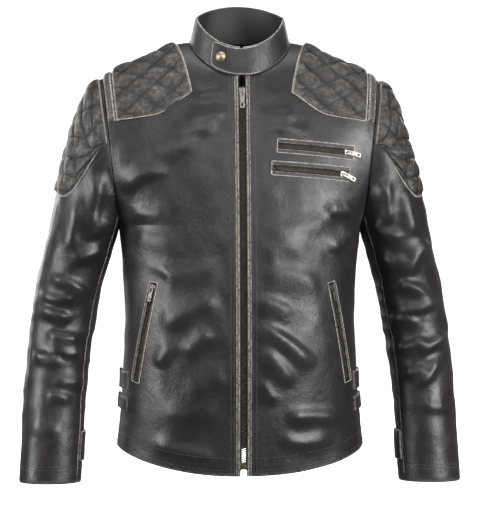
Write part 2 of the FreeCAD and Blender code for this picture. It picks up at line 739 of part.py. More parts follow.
def main_zip(track):
    half, slot, tooth = track.half, size("slot"), size("main_tooth")
    thick, start, end = size("tape") / 2, -half + 4, half - 12
    steps = span(-half, half, 40)
    outline = [(a, -thick) for a in steps] + [(a, thick) for a in reversed(steps)]
    wide = size("main_tape") - slot - tooth - 0.1
    near = slot + tooth + 0.1
    feature("main_tape", [track.band(outline, near, wide), track.band(outline, -near - wide, wide)])
    feature("main_teeth_left", [track.teeth(start, end, size("main_pitch"), tooth, slot)])
    feature("main_teeth_right", [track.teeth(start, end, size("main_pitch"), tooth, -slot)])
    place = track.placement(half - 7)
    box_piece = box("retainer_body", "2 * main_tooth + 2 * slot + 1.6", "9", "4.4",
                    ("- main_tooth - slot - 0.8", "- 4.2", "- 2.2"))
    joined("retainer_box", [box_piece, box("retainer_lip", "2 * main_tooth", "2", "3.4", ("- main_tooth", "4", "- 1.7"))],
           place)
    at = start + 9
    slider("main_slider", "main", track.placement(at))
    pull("main_pull", "main", track.placement(at))
    slide_joint("main_slider", track, at, end - at - 12)
    pull_joint("main_pull", track, at, 0, 165)


def bindings():
    """The rolled edges beside the main zip."""
    near, far = size("zip_gap"), size("zip_gap") + size("binding_width")
    low, high = size("lift"), size("lift") + size("binding_height")

    def place(across, h, out):
        angle = edge_angle(near + (far - near) * across, h)
        return body(angle, h, out + 0.5 * math.sin(math.pi * across) * (1 if out > low else 0))
    heights = [HEM + 1] + HEIGHTS[1:-2] + [NECK - 2]
    roll = skin(place, span(0, 1, 5), heights, low, high)
    feature("front_bindings", [roll, mirrored(roll)])


def pocket_bags(found):
    """Flat pockets behind the leather: below the chest zips and towards the front of the sides."""
    bags = []
    for name, near, far, level in (("chest_upper", 9, 84, -5.9), ("chest_lower", 9, 70, -7.4),
                                   ("hand_left", 9, 100, -6.4), ("hand_right", -9, -100, -6.4)):
        track = found[name]
        bags.append(beside(track, -track.half + 4, track.half - 4, near, far, level - 0.8, level))
    feature("pocket_bags", bags)


# ---------------------------------------------------------------- collar, cuffs, waist and hem

def round_neck(first):
    """Angles from the left front edge round the back to the right front edge."""
    return span(first, -(math.pi + first), 49)


def collar_pieces():
    edge = edge_angle(size("collar_gap"), NECK - 0.01)
    thick = size("collar_leather")
    levels = [0.02, .1, .2, .35, .5, .65, .8, .9, .98]
    feature("collar_shell", [skin(collar, round_neck(edge), levels, -thick, 0)])
    feature("collar_lining", [skin(collar, round_neck(edge - 0.03), [0.06] + levels[1:-1] + [.96], -thick - 1.2, -thick - 0.3)])


def collar_angle(x):
    """The angle at which the collar's middle line passes x, in front."""
    low, high = 0.0, math.pi / 2
    for _ in range(40):
        angle = (low + high) / 2
        if collar_point(angle, 0.5).x > abs(x):
            low = angle
        else:
            high = angle
    return low if x >= 0 else math.pi - low


TAB_ROOT, TAB_END, SNAP_AT = 27.0, -44.0, -31.0


def tab_place(angle, k, out):
    """The tab's surface on the collar, with its free end rounded."""
    start, end = collar_angle(TAB_END), collar_angle(TAB_ROOT)
    near_end = max(0.0, 1 - (start - angle) / (start - end) / 0.16)
    half = 0.44 * math.sqrt(1 - 0.35 * near_end ** 3)
    return collar(angle, 0.48 + half * (2 * k - 1), out)


def collar_fastening():
    lift, thick = 0.5, size("tab")
    angles = span(collar_angle(TAB_ROOT), collar_angle(TAB_END), 17)
    tab = skin(tab_place, angles, span(0, 1, 7), lift, lift + thick)
    at = collar_angle(SNAP_AT)
    feature("collar_tab", [tab])
    place = collar(at, 0.52, lift + thick + 0.05)
    normal = (collar(at, 0.52, 5) - collar(at, 0.52, 0)).normalize()
    turn = FreeCAD.Rotation(Vector(0, 0, 1), normal)
    snap_cap("collar_snap", FreeCAD.Placement(place - ORIGIN, turn))
    root = collar_angle(TAB_ROOT)
    low, high = collar(root, 0.1, lift), collar(root, 0.9, lift)
    JOINTS["collar_tab"] = {"pos_m": metres((low + high) * 0.5 - ORIGIN),
                            "axis": [round(c, 6) for c in (high - low).normalize()], "range_deg": [0.0, 80.0]}


def snap_cap(name, placement):
    """A domed cap: the part of a ball that stands above a plane, on a thin rim."""
    ball = DOC.addObject("Part::Sphere", f"{name}_ball")
    bind(ball, "Radius", "( ( snap_cap / 2 ) ^ 2 + snap_dome ^ 2 ) / ( 2 * snap_dome )")
    bind(ball, "Placement.Base.z", "snap_dome - ( ( snap_cap / 2 ) ^ 2 + snap_dome ^ 2 ) / ( 2 * snap_dome ) + 0.6")
    half_space = box(f"{name}_space", "snap_cap * 2", "snap_cap * 2", "snap_cap",
                     ("- snap_cap", "- snap_cap", "0.6"))
    dome = DOC.addObject("Part::MultiCommon", f"{name}_dome")
    dome.Shapes = [ball, half_space]
    rim = cylinder(f"{name}_rim", "snap_cap / 2", "0.7")
    return joined(name, [dome, rim], placement)


def cuff_tab_place(turn, k, out):
    return sleeve(turn, 0.905 + 0.055 * k, out)


def cuffs():
    """The leather inside each cuff, and a strap round the inner side of each cuff with its snap."""
    low = -size("sleeve_lining_gap")
    turns = span(FRONT_SEAM + 0.01, FRONT_SEAM + 2 * math.pi - 0.01, 40)
    band = skin(sleeve, turns, [1 - size("cuff_band"), .95, .97, .985, 0.999], low, low + 0.7)
    feature("cuff_facings", [band, mirrored(band)])
    first, last = math.radians(152), math.radians(264)
    strap = skin(cuff_tab_place, span(first, last, 15), span(0, 1, 4), 0.4, 0.4 + size("tab"))
    pair("cuff_tab", strap)
    at = last - math.radians(16)
    place = cuff_tab_place(at, 0.5, 0.45 + size("tab"))
    normal = (cuff_tab_place(at, 0.5, 8) - cuff_tab_place(at, 0.5, 0)).normalize()
    for name, sign in (("cuff_snap_left", 1), ("cuff_snap_right", -1)):
        turn = FreeCAD.Rotation(Vector(0, 0, 1), Vector(normal.x * sign, normal.y, normal.z))
        snap_cap(name, FreeCAD.Placement(Vector(place.x * sign, place.y, place.z) - ORIGIN, turn))
        low, high = cuff_tab_place(first, 0, 0.4), cuff_tab_place(first, 1, 0.4)
        middle, axis = (low + high) * 0.5, (low - high).normalize()
        JOINTS[name.replace("snap", "tab")] = {
            "pos_m": metres(Vector(middle.x * sign, middle.y, middle.z) - ORIGIN),
            "axis": [round(c, 6) for c in (axis.x, axis.y * sign, axis.z * sign)], "range_deg": [0.0, 30.0]}


def waist():
    """Two short straps one above the other at each side, each with its keeper."""
    low, high = size("lift"), size("lift") + size("strap")
    straps, keepers = [], []
    for z, tall in ((141, 26), (107, 20)):
        solid = skin(body, span(math.radians(-34), math.radians(22), 13), span(z - tall / 2, z + tall / 2, 4), low, high)
        keeper = skin(body, span(math.radians(-10), math.radians(-2), 4), span(z - tall / 2 - 1.5, z + tall / 2 + 1.5, 4),
                      high + 0.15, high + 2.0)
        straps += [solid, mirrored(solid)]
        keepers += [keeper, mirrored(keeper)]
    feature("waist_straps", straps)
    feature("waist_keepers", keepers)


def hem_and_loop():
    inner = -size("leather") - 0.7
    edge = edge_angle(size("main_tape") + 2, HEM + 10)
    band = skin(body, round_neck(edge), [HEM + 0.5, HEM + 5, HEM + 11, HEM + 17, HEM + size("hem_band")], inner - 1.2, inner)
    feature("hem_facing", [band])

    def loop(x, z, out):
        return on_body(x, z, out + 8.5 * (x / 38) ** 2, False)
    height = size("loop_height")
    feature("hanger_loop", [skin(loop, span(-38, 38, 9), [height - 4, height - 2, height, height + 2, height + 4],
                                 -size("loop_inset") - 0.9, -size("loop_inset") + 0.9)])


def cut_slots(found):
    """Cuts the slots over the pocket zips through the front panels."""
    slots = {"front_panel_left": ("chest_upper", "chest_lower", "hand_left"), "front_panel_right": ("hand_right",)}
    for obj in KEPT:
        for name in slots.get(obj.Label, ()):
            knife = cutter(found[name], size("zip_slot"), 6).translated(ORIGIN * -1)
            obj.Shape = obj.Shape.cut(knife)


def check():
    for obj in DOC.Objects:
        if "Invalid" in obj.State or "Error" in obj.State:
            raise ValueError(f"{obj.Name} failed to recompute")
    for obj in KEPT:
        shape = obj.Shape
        if shape.isNull() or not shape.isValid() or not shape.Solids:
            raise ValueError(f"{obj.Label} is not a valid solid")


def main():
    found = tracks()
    shell_panels()
    cut_slots(found)
    sleeves()
    quilting()
    main_zip(found["main"])
    bindings()
    pocket_zip("chest_upper", found["chest_upper"], size("chest_lip"), found["chest_upper"].half - 7, -97, -10, 150)
    pocket_zip("chest_lower", found["chest_lower"], size("chest_lip"), found["chest_lower"].half - 7, -99, -22, 150)
    for side in ("left", "right"):
        track = found[f"hand_{side}"]
        pocket_zip(f"hand_{side}", track, size("hand_lip"), -track.half + 7, track.length - 15, 0, 150)
    pocket_bags(found)
    collar_pieces()
    collar_fastening()
    cuffs()
    waist()
    hem_and_loop()
    DOC.recompute()
    for obj in KEPT:
        print(obj.Label, obj.Shape.isValid(), len(obj.Shape.Solids), round(obj.Shape.Volume / 1000, 2))
    print("origin", round(ORIGIN.y, 3), round(ORIGIN.z, 3))
    for name, joint in JOINTS.items():
        print("joint", name, joint)
    check()
    os.makedirs("parts", exist_ok=True)
    for obj in KEPT:
        obj.Shape.exportStep(f"parts/{obj.Label}.step")


main()
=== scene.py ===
"""The looks of the leather riding jacket: panels, quilting, zips, snaps, seams and lining."""
import math

import bpy
import numpy as np
from mathutils import Matrix, Vector


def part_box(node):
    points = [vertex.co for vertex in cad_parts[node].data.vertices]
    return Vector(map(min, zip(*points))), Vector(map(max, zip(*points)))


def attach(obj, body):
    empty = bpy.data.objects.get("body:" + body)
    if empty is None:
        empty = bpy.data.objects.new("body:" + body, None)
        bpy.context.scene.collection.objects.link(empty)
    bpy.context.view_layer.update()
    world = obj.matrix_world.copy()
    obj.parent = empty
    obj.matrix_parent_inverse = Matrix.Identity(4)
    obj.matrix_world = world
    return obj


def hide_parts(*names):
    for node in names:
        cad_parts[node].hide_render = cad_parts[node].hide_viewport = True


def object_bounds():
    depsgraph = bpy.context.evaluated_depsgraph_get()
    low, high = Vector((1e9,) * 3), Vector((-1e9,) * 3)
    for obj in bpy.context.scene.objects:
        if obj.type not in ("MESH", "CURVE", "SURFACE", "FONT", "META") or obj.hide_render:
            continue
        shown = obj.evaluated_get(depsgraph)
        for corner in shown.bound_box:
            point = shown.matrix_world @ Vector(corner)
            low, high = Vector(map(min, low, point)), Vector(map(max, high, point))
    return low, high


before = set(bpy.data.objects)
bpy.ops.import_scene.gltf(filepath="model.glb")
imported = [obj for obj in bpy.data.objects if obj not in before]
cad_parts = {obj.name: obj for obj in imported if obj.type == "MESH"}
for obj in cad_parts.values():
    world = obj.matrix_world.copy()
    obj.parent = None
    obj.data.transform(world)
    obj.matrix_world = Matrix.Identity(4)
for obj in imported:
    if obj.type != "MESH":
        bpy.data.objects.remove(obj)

CAD_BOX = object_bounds()
SIDES = ((1, "left"), (-1, "right"))


# ---------------------------------------------------------------- the jacket's outer surface
# Lengths are in metres and heights are above the lowest point of the front hem, as the pattern
# of the jacket is drawn; BASE moves them into the frame.

PANEL_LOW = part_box("front_panel_left")[0]
BELLY = 0.130
BASE = np.array([0.0, PANEL_LOW[1] + BELLY + 0.0002, PANEL_LOW[2]])
HEM, ARMPIT, SHOULDER, NECK = 0.038, 0.375, 0.603, 0.660
ARMPIT_REACH, SHOULDER_REACH, ARMHOLE_HALF = 0.187, 0.212, 0.062
BODY_WIDTH = [(.038, .190), (.120, .182), (.230, .179), (.320, .182), (.375, .187)]
RIDGE = [(.603, .212), (.617, .186), (.632, .151), (.646, .124), (.655, .103), (.660, .077)]
BACK_DEPTH = [(.038, .106), (.130, .097), (.220, .094), (.330, .104), (.440, .118), (.540, .108),
              (.610, .088),
              (.660, .066)]
FRONT_RADIUS, BELLY_HEIGHT = 1.613, 0.150
NECK_DROP, NECK_RISE, HEM_BACK = 0.0575, 0.006, 0.018
OUTER = [(0, .212, .603), (.05, .229, .592), (.10, .241, .571), (.18, .256, .527), (.28, .272, .472),
         (.38, .287, .408),
         (.48, .300, .345), (.57, .314, .285), (.66, .323, .226), (.76, .329, .165), (.87, .334, .088),
         (1, .339, -.016)]
INNER = [(0, .187, .375), (.05, .1873, .372), (.10, .1878, .369), (.18, .189, .364), (.28, .191, .356),
         (.38, .196, .341),
         (.48, .204, .313), (.57, .213, .278), (.66, .221, .236), (.76, .231, .172), (.87, .238, .090),
         (1, .244, -.016)]
SLEEVE_HALF = [(0, .062), (.2, .068), (.4, .066), (.57, .058), (.7, .052), (.85, .046), (1, .042)]
SLEEVE_SHIFT = [(0, 0), (.4, .002), (.62, .004), (.8, -.010), (1, -.030)]


def smooth(x):
    x = np.clip(x, 0, 1)
    return x * x * (3 - 2 * x)


def curve(points, x):
    """A monotone cubic through (x, y) points, for an array of x."""
    xs, ys = np.array([p[0] for p in points], float), np.array([p[1] for p in points], float)
    width = np.diff(xs)
    slope = np.diff(ys) / width
    product = slope[:-1] * slope[1:]
    total = np.where(product > 0, slope[:-1] + slope[1:], 1.0)
    tangent = np.concatenate([slope[:1], np.where(product > 0, 2 * product / total, 0.0), slope[-1:]])
    x = np.clip(x, xs[0], xs[-1])
    i = np.clip(np.searchsorted(xs, x, side="right") - 1, 0, len(width) - 1)
    w, u = width[i], (x - xs[i]) / width[i]
    return (ys[i] * (1 + 2 * u) * (1 - u) ** 2 + tangent[i] * w * u * (1 - u) ** 2
            + ys[i + 1] * u * u * (3 - 2 * u) + tangent[i + 1] * w * u * u * (u - 1))


def armhole_reach(z):
    return ARMPIT_REACH + (SHOULDER_REACH - ARMPIT_REACH) * (z - ARMPIT) / (SHOULDER - ARMPIT)


def front_profile(z):
    return BELLY - FRONT_RADIUS + np.sqrt(FRONT_RADIUS ** 2 - (z - BELLY_HEIGHT) ** 2)


def front_drop(h):
    return HEM * (1 - smooth((h - HEM) / .16)) + NECK_DROP * smooth((h - .43) / (NECK - .43))


def back_rise(h):
    return NECK_RISE * smooth((h - .56) / (NECK - .56)) - HEM_BACK * (1 - smooth((h - HEM) / .16))


def depth(h, front):
    return np.where(front, front_profile(h - front_drop(h)), curve(BACK_DEPTH, h))


def half_width(h, front):
    middle, half = (ARMPIT + SHOULDER) / 2, (SHOULDER - ARMPIT) / 2
    inside = np.clip(1 - ((h - middle) / half) ** 2, 0, 1)
    widened = armhole_reach(h) / np.sqrt(1 - inside * (ARMHOLE_HALF / depth(h, front)) ** 2)
    return np.where(h <= ARMPIT, curve(BODY_WIDTH, h), np.where(h >= SHOULDER, curve(RIDGE, h), widened))


def roundness(h):
    return 2.3 - 0.3 * smooth((h - .56) / (NECK - .56))


def body_point(angle, h):
    angle, h = np.broadcast_arrays(np.asarray(angle, float), np.asarray(h, float))
    front = np.sin(angle) >= 0
    n = roundness(h)
    across = np.sign(np.cos(angle)) * np.abs(np.cos(angle)) ** (2 / n)
    forward = np.abs(np.sin(angle)) ** (2 / n)
    x = half_width(h, front) * across
    y = np.where(front, -1, 1) * depth(h, front) * forward
    fall = np.where(front, 2 - .65 * smooth((h - .56) / (NECK - .56)), 2)
    z = h + np.where(front, -front_drop(h), back_rise(h)) * forward ** fall
    return np.stack([x, y, z], axis=-1)


def unit(v):
    return v / np.maximum(np.linalg.norm(v, axis=-1, keepdims=True), 1e-12)


def normal_of(surface, u, v, du, dv, outward):
    across = surface(u + du, v) - surface(u - du, v)
    along = surface(u, v + dv) - surface(u, v - dv)
    n = unit(np.cross(across, along))
    return n * np.where(np.sum(n * outward, axis=-1, keepdims=True) > 0, 1, -1)


def body_normal(angle, h):
    angle, h = np.broadcast_arrays(np.asarray(angle, float), np.asarray(h, float))
    h = np.clip(h, HEM + .001, NECK - .001)
    centre = np.stack([0 * h, 0 * h, h - .06 * smooth((h - .56) / .1)], axis=-1)
    return normal_of(body_point, angle, h, .01, .0008, body_point(angle, h) - centre)


def bisect(low, high, below, steps=36):
    """The place between low and high where below, true at low, turns false."""
    for _ in range(steps):
        middle = (low + high) / 2
        still = below(middle)
        low, high = np.where(still, middle, low), np.where(still, high, middle)
    return low


def ridge_height(x):
    return bisect(np.full(np.shape(x), ARMPIT), np.full(np.shape(x), NECK), lambda h: half_width(h, True) > x)


def front_at(x, z, front=True):
    """(angle, h) of the body's point with this x and z, on its front or back."""
    x, z = np.broadcast_arrays(np.asarray(x, float), np.asarray(z, float))
    reach = np.abs(x)
    low = np.full(x.shape, HEM)
    high = np.where(reach < half_width(np.full(x.shape, NECK), front), NECK, ridge_height(reach))
    for _ in range(36):
        h = (low + high) / 2
        n = roundness(h)
        across = np.minimum(1.0, reach / half_width(h, front))
        forward = (1 - across ** n) ** (1 / n)
        reached = h + (-front_drop(h) if front else back_rise(h)) * forward ** 2
        low, high = np.where(reached < z, h, low), np.where(reached < z, high, h)
    angle = np.arctan2(forward ** (n / 2), across ** (n / 2))
    angle = np.where(x >= 0, angle, math.pi - angle)
    return (angle if front else -angle), h


def armhole_angle(h, sign, inset=0.0):
    """The angle where the body reaches the plane of the armhole, less inset metres."""
    def outside(angle):
        p = body_point(angle * sign, h)
        return p[..., 0] > armhole_reach(p[..., 2]) - inset
    return bisect(np.zeros(h.shape), np.full(h.shape, math.pi / 2), outside)


def armhole_point(turn):
    h = (ARMPIT + SHOULDER) / 2 + (SHOULDER - ARMPIT) / 2 * np.cos(turn)
    side = np.where(np.sin(turn) >= 0, 1, -1)
    return body_point(armhole_angle(h, side) * side, h)


def line_point(line, share):
    x = curve([(k, a) for k, a, _ in line], share)
    z = curve([(k, b) for k, _, b in line], share)
    return np.stack([x, 0 * x, z], axis=-1)


def sleeve_oval(turn, share):
    outer, inner = line_point(OUTER, share), line_point(INNER, share)
    shift = curve(SLEEVE_SHIFT, share) - curve(SLEEVE_HALF, share) * np.sin(turn)
    oval = (outer + inner) / 2 + (outer - inner) / 2 * np.cos(turn)[..., None]
    oval[..., 1] += shift
    return oval


SEAM_TURNS = np.linspace(0, 2 * math.pi, 145)
SEAM_SHIFT = armhole_point(SEAM_TURNS) - sleeve_oval(SEAM_TURNS, 0 * SEAM_TURNS)


def sleeve_point(turn, share):
    """A point of the left sleeve: turn 0 is the outside of the arm and 90 degrees the front."""
    turn, share = np.broadcast_arrays(np.asarray(turn, float), np.asarray(share, float))
    place = turn % (2 * math.pi)
    shift = np.stack([np.interp(place, SEAM_TURNS, SEAM_SHIFT[:, k]) for k in range(3)], axis=-1)
    return sleeve_oval(turn, share) + shift * (1 - smooth(share / .3))[..., None]


def sleeve_normal(turn, share):
    turn, share = np.broadcast_arrays(np.asarray(turn, float), np.asarray(share, float))
    at = np.clip(share, .006, .994)
    centre = (line_point(OUTER, at) + line_point(INNER, at)) / 2
    return normal_of(sleeve_point, turn, at, .02, .005, sleeve_point(turn, at) - centre)


def collar_point(angle, k):
    angle, k = np.broadcast_arrays(np.asarray(angle, float), np.asarray(k, float))
    base = body_point(angle, np.full(angle.shape, NECK))
    front = np.sin(angle) >= 0
    rise = .039 + (np.where(front, .0445, .057) - .039) * np.abs(np.sin(angle)) ** 1.35
    x = base[..., 0] * (1 - .115 * k)
    y = base[..., 1] * np.where(front, 1 - .10 * k, 1 - .02 * k)
    return np.stack([x, y, base[..., 2] + rise * k], axis=-1)


def collar_normal(angle, k):
    outward = np.stack([np.cos(angle) + 0 * k, -np.sin(angle) + 0 * k, 0 * angle + 0 * k], axis=-1)
    return normal_of(collar_point, angle, k, .02, .02, outward)


# ---------------------------------------------------------------- relief: folds, creases, softness

LATTICE = np.random.RandomState(11).rand(32, 32, 32)


def noise(p, scale, seed=0.0):
    """Smooth noise from -1 to 1, with features about scale metres across."""
    q = p / scale + seed * 7.31
    cell = np.floor(q).astype(int)
    t = q - cell
    t = t * t * (3 - 2 * t)
    total = 0.0
    for dx in (0, 1):
        for dy in (0, 1):
            for dz in (0, 1):
                weight = (np.where(dx, t[..., 0], 1 - t[..., 0]) * np.where(dy, t[..., 1], 1 - t[..., 1])
                          * np.where(dz, t[..., 2], 1 - t[..., 2]))
                at = (cell + (dx, dy, dz)) % 32
                total = total + weight * LATTICE[at[..., 0], at[..., 1], at[..., 2]]
    return total * 2 - 1


def rounded(points, steps=8):
    """A smooth line through given points."""
    p = np.array(points, float)
    p = np.vstack([2 * p[0] - p[1], p, 2 * p[-1] - p[-2]])
    out = []
    for a, b, c, d in zip(p, p[1:], p[2:], p[3:]):
        for t in np.arange(steps) / steps:
            out.append(0.5 * (2 * b + (c - a) * t + (2 * a - 5 * b + 4 * c - d) * t * t
                              + (3 * b - a - 3 * c + d) * t ** 3))
    return np.array(out + [p[-2]])


def ridge(points, at, height, above, below):
    """A fold along a line in the front view, in millimetres: its crest is height high, and it falls
    away over above on its left as the line runs, and over below on its right."""
    line = rounded(np.array(points) * MM)
    low, high = line.min(axis=0) - .06, line.max(axis=0) + .06
    near = np.all((at > low) & (at < high), axis=-1)
    raised = np.zeros(at.shape[:-1])
    if not near.any():
        return raised
    q = at[near]
    best, side, place = np.full(len(q), 1e9), np.zeros(len(q)), np.zeros(len(q))
    for k, (a, ahead) in enumerate(zip(line, np.diff(line, axis=0))):
        t = np.clip(((q - a) @ ahead) / (ahead @ ahead), 0, 1)
        gap = q - a - t[:, None] * ahead
        d = np.hypot(gap[:, 0], gap[:, 1])
        closer = d < best
        best = np.where(closer, d, best)
        side = np.where(closer, ahead[0] * gap[:, 1] - ahead[1] * gap[:, 0], side)
        place = np.where(closer, (k + t) / (len(line) - 1), place)
    width = np.where(side > 0, above, below) * MM
    taper = smooth(place * 3.2) * smooth((1 - place) * 3.2)
    raised[near] = height * MM * taper * np.exp(-(best / width) ** 2)
    return raised


# Each fold: its line in the front view (x towards the wearer's left, height), its height, and how
# wide it falls away on its left and on its right, all in millimetres.
MM = .001
BODY_FOLDS = [
    ([(-105, 457), (-130, 454), (-149, 450), (-166, 438), (-178, 420)], 5.5, 8, 16),
    ([(-20, 548), (-55, 540), (-92, 541)], 3, 11, 16),
    ([(-18, 580), (-50, 573), (-80, 574)], 2.5, 10, 14),
    ([(-30, 522), (-70, 520), (-118, 512)], 2.5, 12, 16),
    ([(-60, 500), (-110, 488), (-150, 476)], 3, 16, 20),
    ([(-176, 398), (-140, 392), (-105, 398)], 3, 10, 16),
    ([(-170, 365), (-130, 352), (-85, 350)], 3, 14, 20),
    ([(-160, 318), (-110, 300), (-60, 306), (-25, 318)], 3, 14, 22),
    ([(-48, 222), (-66, 200), (-88, 175)], 4.5, 9, 16),
    ([(-100, 197), (-116, 180), (-128, 160)], 4, 8, 14),
    ([(-30, 262), (-62, 256), (-98, 236), (-120, 214)], 3.5, 12, 18),
    ([(-36, 28), (-70, 33), (-109, 42), (-140, 55)], 4, 10, 12),
    ([(-30, 100), (-80, 92), (-130, 98)], 3, 14, 20),
    ([(-20, 150), (-50, 140), (-90, 120)], 2.5, 12, 18),
    ([(16, 232), (40, 216), (67, 198), (90, 178), (109, 160)], 6, 10, 18),
    ([(14, 262), (45, 256), (80, 238)], 4, 10, 18),
    ([(16, 196), (40, 178), (60, 156), (75, 130)], 4.5, 10, 18),
    ([(18, 300), (50, 302), (90, 294), (120, 280)], 3, 14, 20),
    ([(58, 87), (100, 90), (160, 84)], 4.5, 10, 14),
    ([(16, 150), (34, 128), (50, 104)], 3, 9, 14),
    ([(50, 55), (90, 50), (140, 58)], 3, 10, 14),
    ([(20, 372), (60, 366), (110, 376), (150, 384)], 3, 16, 22),
    ([(18, 330), (60, 340), (110, 342)], 2.8, 14, 20),
    ([(172, 404), (150, 396), (120, 402)], 4, 10, 14),
    ([(174, 372), (150, 352), (128, 330)], 4.5, 9, 14),
    ([(20, 545), (55, 540), (85, 545)], 2.5, 10, 15),
    ([(20, 520), (60, 516), (120, 520)], 2.2, 12, 16),
]
RIGHT_SLEEVE_FOLDS = [
    ([(-293, 297), (-262, 288), (-228, 267)], 6, 8, 13),
    ([(-311, 249), (-284, 243), (-255, 230)], 6, 7, 12),
    ([(-299, 214), (-270, 205), (-240, 205)], 5.5, 7, 12),
    ([(-320, 178), (-294, 176), (-267, 163)], 5.5, 7, 12),
    ([(-250, 268), (-280, 262), (-312, 276)], 4.5, 7, 10),
    ([(-240, 184), (-262, 180), (-300, 190)], 4.5, 7, 11),
    ([(-296, 116), (-276, 116), (-255, 110)], 3.5, 7, 10),
    ([(-235, 140), (-262, 136), (-290, 142)], 3.5, 8, 11),
    ([(-214, 455), (-222, 405), (-232, 360)], 6, 10, 14),
    ([(-246, 425), (-254, 372), (-262, 330)], 4.5, 9, 14),
    ([(-196, 392), (-214, 372), (-240, 352)], 5, 8, 12),
    ([(-205, 345), (-232, 330), (-262, 322)], 5, 8, 12),
    ([(-328, 80), (-300, 66), (-268, 70)], 2.5, 10, 14),
]
LEFT_SLEEVE_FOLDS = [
    ([(292, 352), (276, 339), (262, 318), (249, 294)], 6, 8, 13),
    ([(240, 290), (262, 282), (295, 261)], 6.5, 7, 12),
    ([(306, 276), (285, 252), (256, 246), (229, 243)], 6, 7, 12),
    ([(229, 232), (252, 232), (276, 223)], 5.5, 7, 10),
    ([(316, 214), (306, 200), (288, 190), (270, 175)], 6, 7, 12),
    ([(240, 186), (262, 192), (286, 206)], 5.5, 7, 11),
    ([(306, 178), (295, 157), (282, 140), (262, 128)], 5, 7, 11),
    ([(248, 156), (266, 152), (284, 162)], 4, 7, 10),
    ([(216, 452), (222, 410), (226, 368)], 6, 10, 14),
    ([(250, 440), (256, 394), (268, 350)], 5, 9, 14),
    ([(198, 388), (220, 366), (250, 354)], 5, 8, 12),
    ([(210, 330), (232, 320), (252, 330)], 4.5, 8, 12),
    ([(320, 100), (296, 96), (272, 104)], 3, 8, 12),
]
BACK_FOLDS = [
    ([(-150, 300), (-60, 286), (40, 292), (140, 304)], 3.5, 14, 20),
    ([(-140, 262), (-50, 248), (60, 254), (150, 262)], 3.5, 12, 20),
    ([(-172, 400), (-130, 380), (-80, 372)], 4, 12, 18),
    ([(172, 400), (130, 384), (85, 370)], 4, 12, 18),
    ([(-150, 210), (-70, 200), (10, 206)], 3, 12, 18),
    ([(160, 190), (90, 180), (20, 186)], 3, 12, 18),
    ([(-90, 560), (-30, 548), (40, 552), (100, 562)], 2.2, 12, 18),
    ([(-120, 120), (-40, 110), (60, 116), (130, 124)], 2.8, 14, 20),
]
# Straight hardware lines that the leather lies flat beside: (x, z) of both ends.
FLAT_LINES = [((0, -.01), (0, .61)), ((.055, .495), (.167, .485)), ((.046, .461), (.160, .452)),
              ((.134, .287), (.161, .141)), ((-.134, .287), (-.161, .141))]


def calm(at, front):
    """0 beside the zips, where the leather is held flat, and 1 away from them."""
    free = np.ones(at.shape[:-1])
    for a, b in FLAT_LINES:
        a, b = np.array(a), np.array(b)
        t = np.clip(((at - a) @ (b - a)) / ((b - a) @ (b - a)), 0, 1)
        d = np.linalg.norm(at - a - t[..., None] * (b - a), axis=-1)
        free = np.minimum(free, smooth((d - .009) / .022))
    return np.where(front, free, 1.0)


def body_relief(p):
    at = p[..., [0, 2]]
    front = p[..., 1] < 0
    turn = smooth((-p[..., 1] + .012) / .024)
    ahead = sum(ridge(line, at, *size) for line, *size in BODY_FOLDS)
    behind = sum(ridge(line, at, *size) for line, *size in BACK_FOLDS)
    soft = .0016 * noise(p * (1, 1, .7), .055) + .0007 * noise(p, .024, 1)
    total = ahead * turn + behind * (1 - turn) + soft
    arm = armhole_reach(p[..., 2]) - np.abs(p[..., 0])
    arm = np.where((p[..., 2] > ARMPIT - .02) & (p[..., 2] < SHOULDER + .02), arm, 1.0)
    return 1.35 * total * calm(at, front) * smooth(arm / .016 + .05) * (1 - smooth((p[...,
                                                                                      2] - .60) / .05) * .8)


def sleeve_relief(p, side):
    """side is 1 for the left sleeve; p is on the left sleeve, and the folds are as worn."""
    at = p[..., [0, 2]] * (side, 1)
    folds = LEFT_SLEEVE_FOLDS if side > 0 else RIGHT_SLEEVE_FOLDS
    total = sum(ridge(line, at, *size) for line, *size in folds)
    back = smooth((p[..., 1] - .0) / .03)
    total = total * (1 - .35 * back)
    shifted = p + (0, 0, .3 * (side < 0))
    soft = .0016 * noise(shifted * (1, 1, .8), .045, 2) + .0008 * noise(shifted, .020, 3)
    creased = .0012 * (1 - np.abs(noise(shifted * (.6, .6, 1.3), .030, 4)) * 2)
    elbow = np.exp(-((p[..., 2] - .22) / .11) ** 2)
    return 1.2 * (total + soft) + creased * (.25 + .75 * elbow)


def shell(angle, h, out=0.0):
    """The body's outer face with its folds, out metres outside it, in the frame."""
    p = body_point(angle, h)
    return p + body_normal(angle, h) * (out + body_relief(p))[..., None] + BASE


def arm(turn, share, out=0.0, side=1):
    p = sleeve_point(turn, share)
    free = smooth(share / .05 + .02) * (1 - .75 * smooth((share - .90) / .06))
    p = p + sleeve_normal(turn, share) * (out + sleeve_relief(p, side) * free)[..., None]
    return p * (side, 1, 1) + BASE


def neck_band(angle, k, out=0.0):
    p = collar_point(angle, k)
    soft = .0006 * noise(p, .03, 5) * smooth(k * 4)
    return p + collar_normal(angle, k) * (out + soft)[..., None] + BASE


# ---------------------------------------------------------------- meshes

def paint(mesh, name, values):
    layer = mesh.attributes.new(name, "FLOAT", "POINT")
    layer.data.foreach_set("value", np.asarray(values, np.float32).ravel())


def into_scene(name, data):
    thing = bpy.data.objects.new(name, data)
    bpy.context.scene.collection.objects.link(thing)
    return thing


def on_body(piece, body, slot):
    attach(piece, body)
    return piece


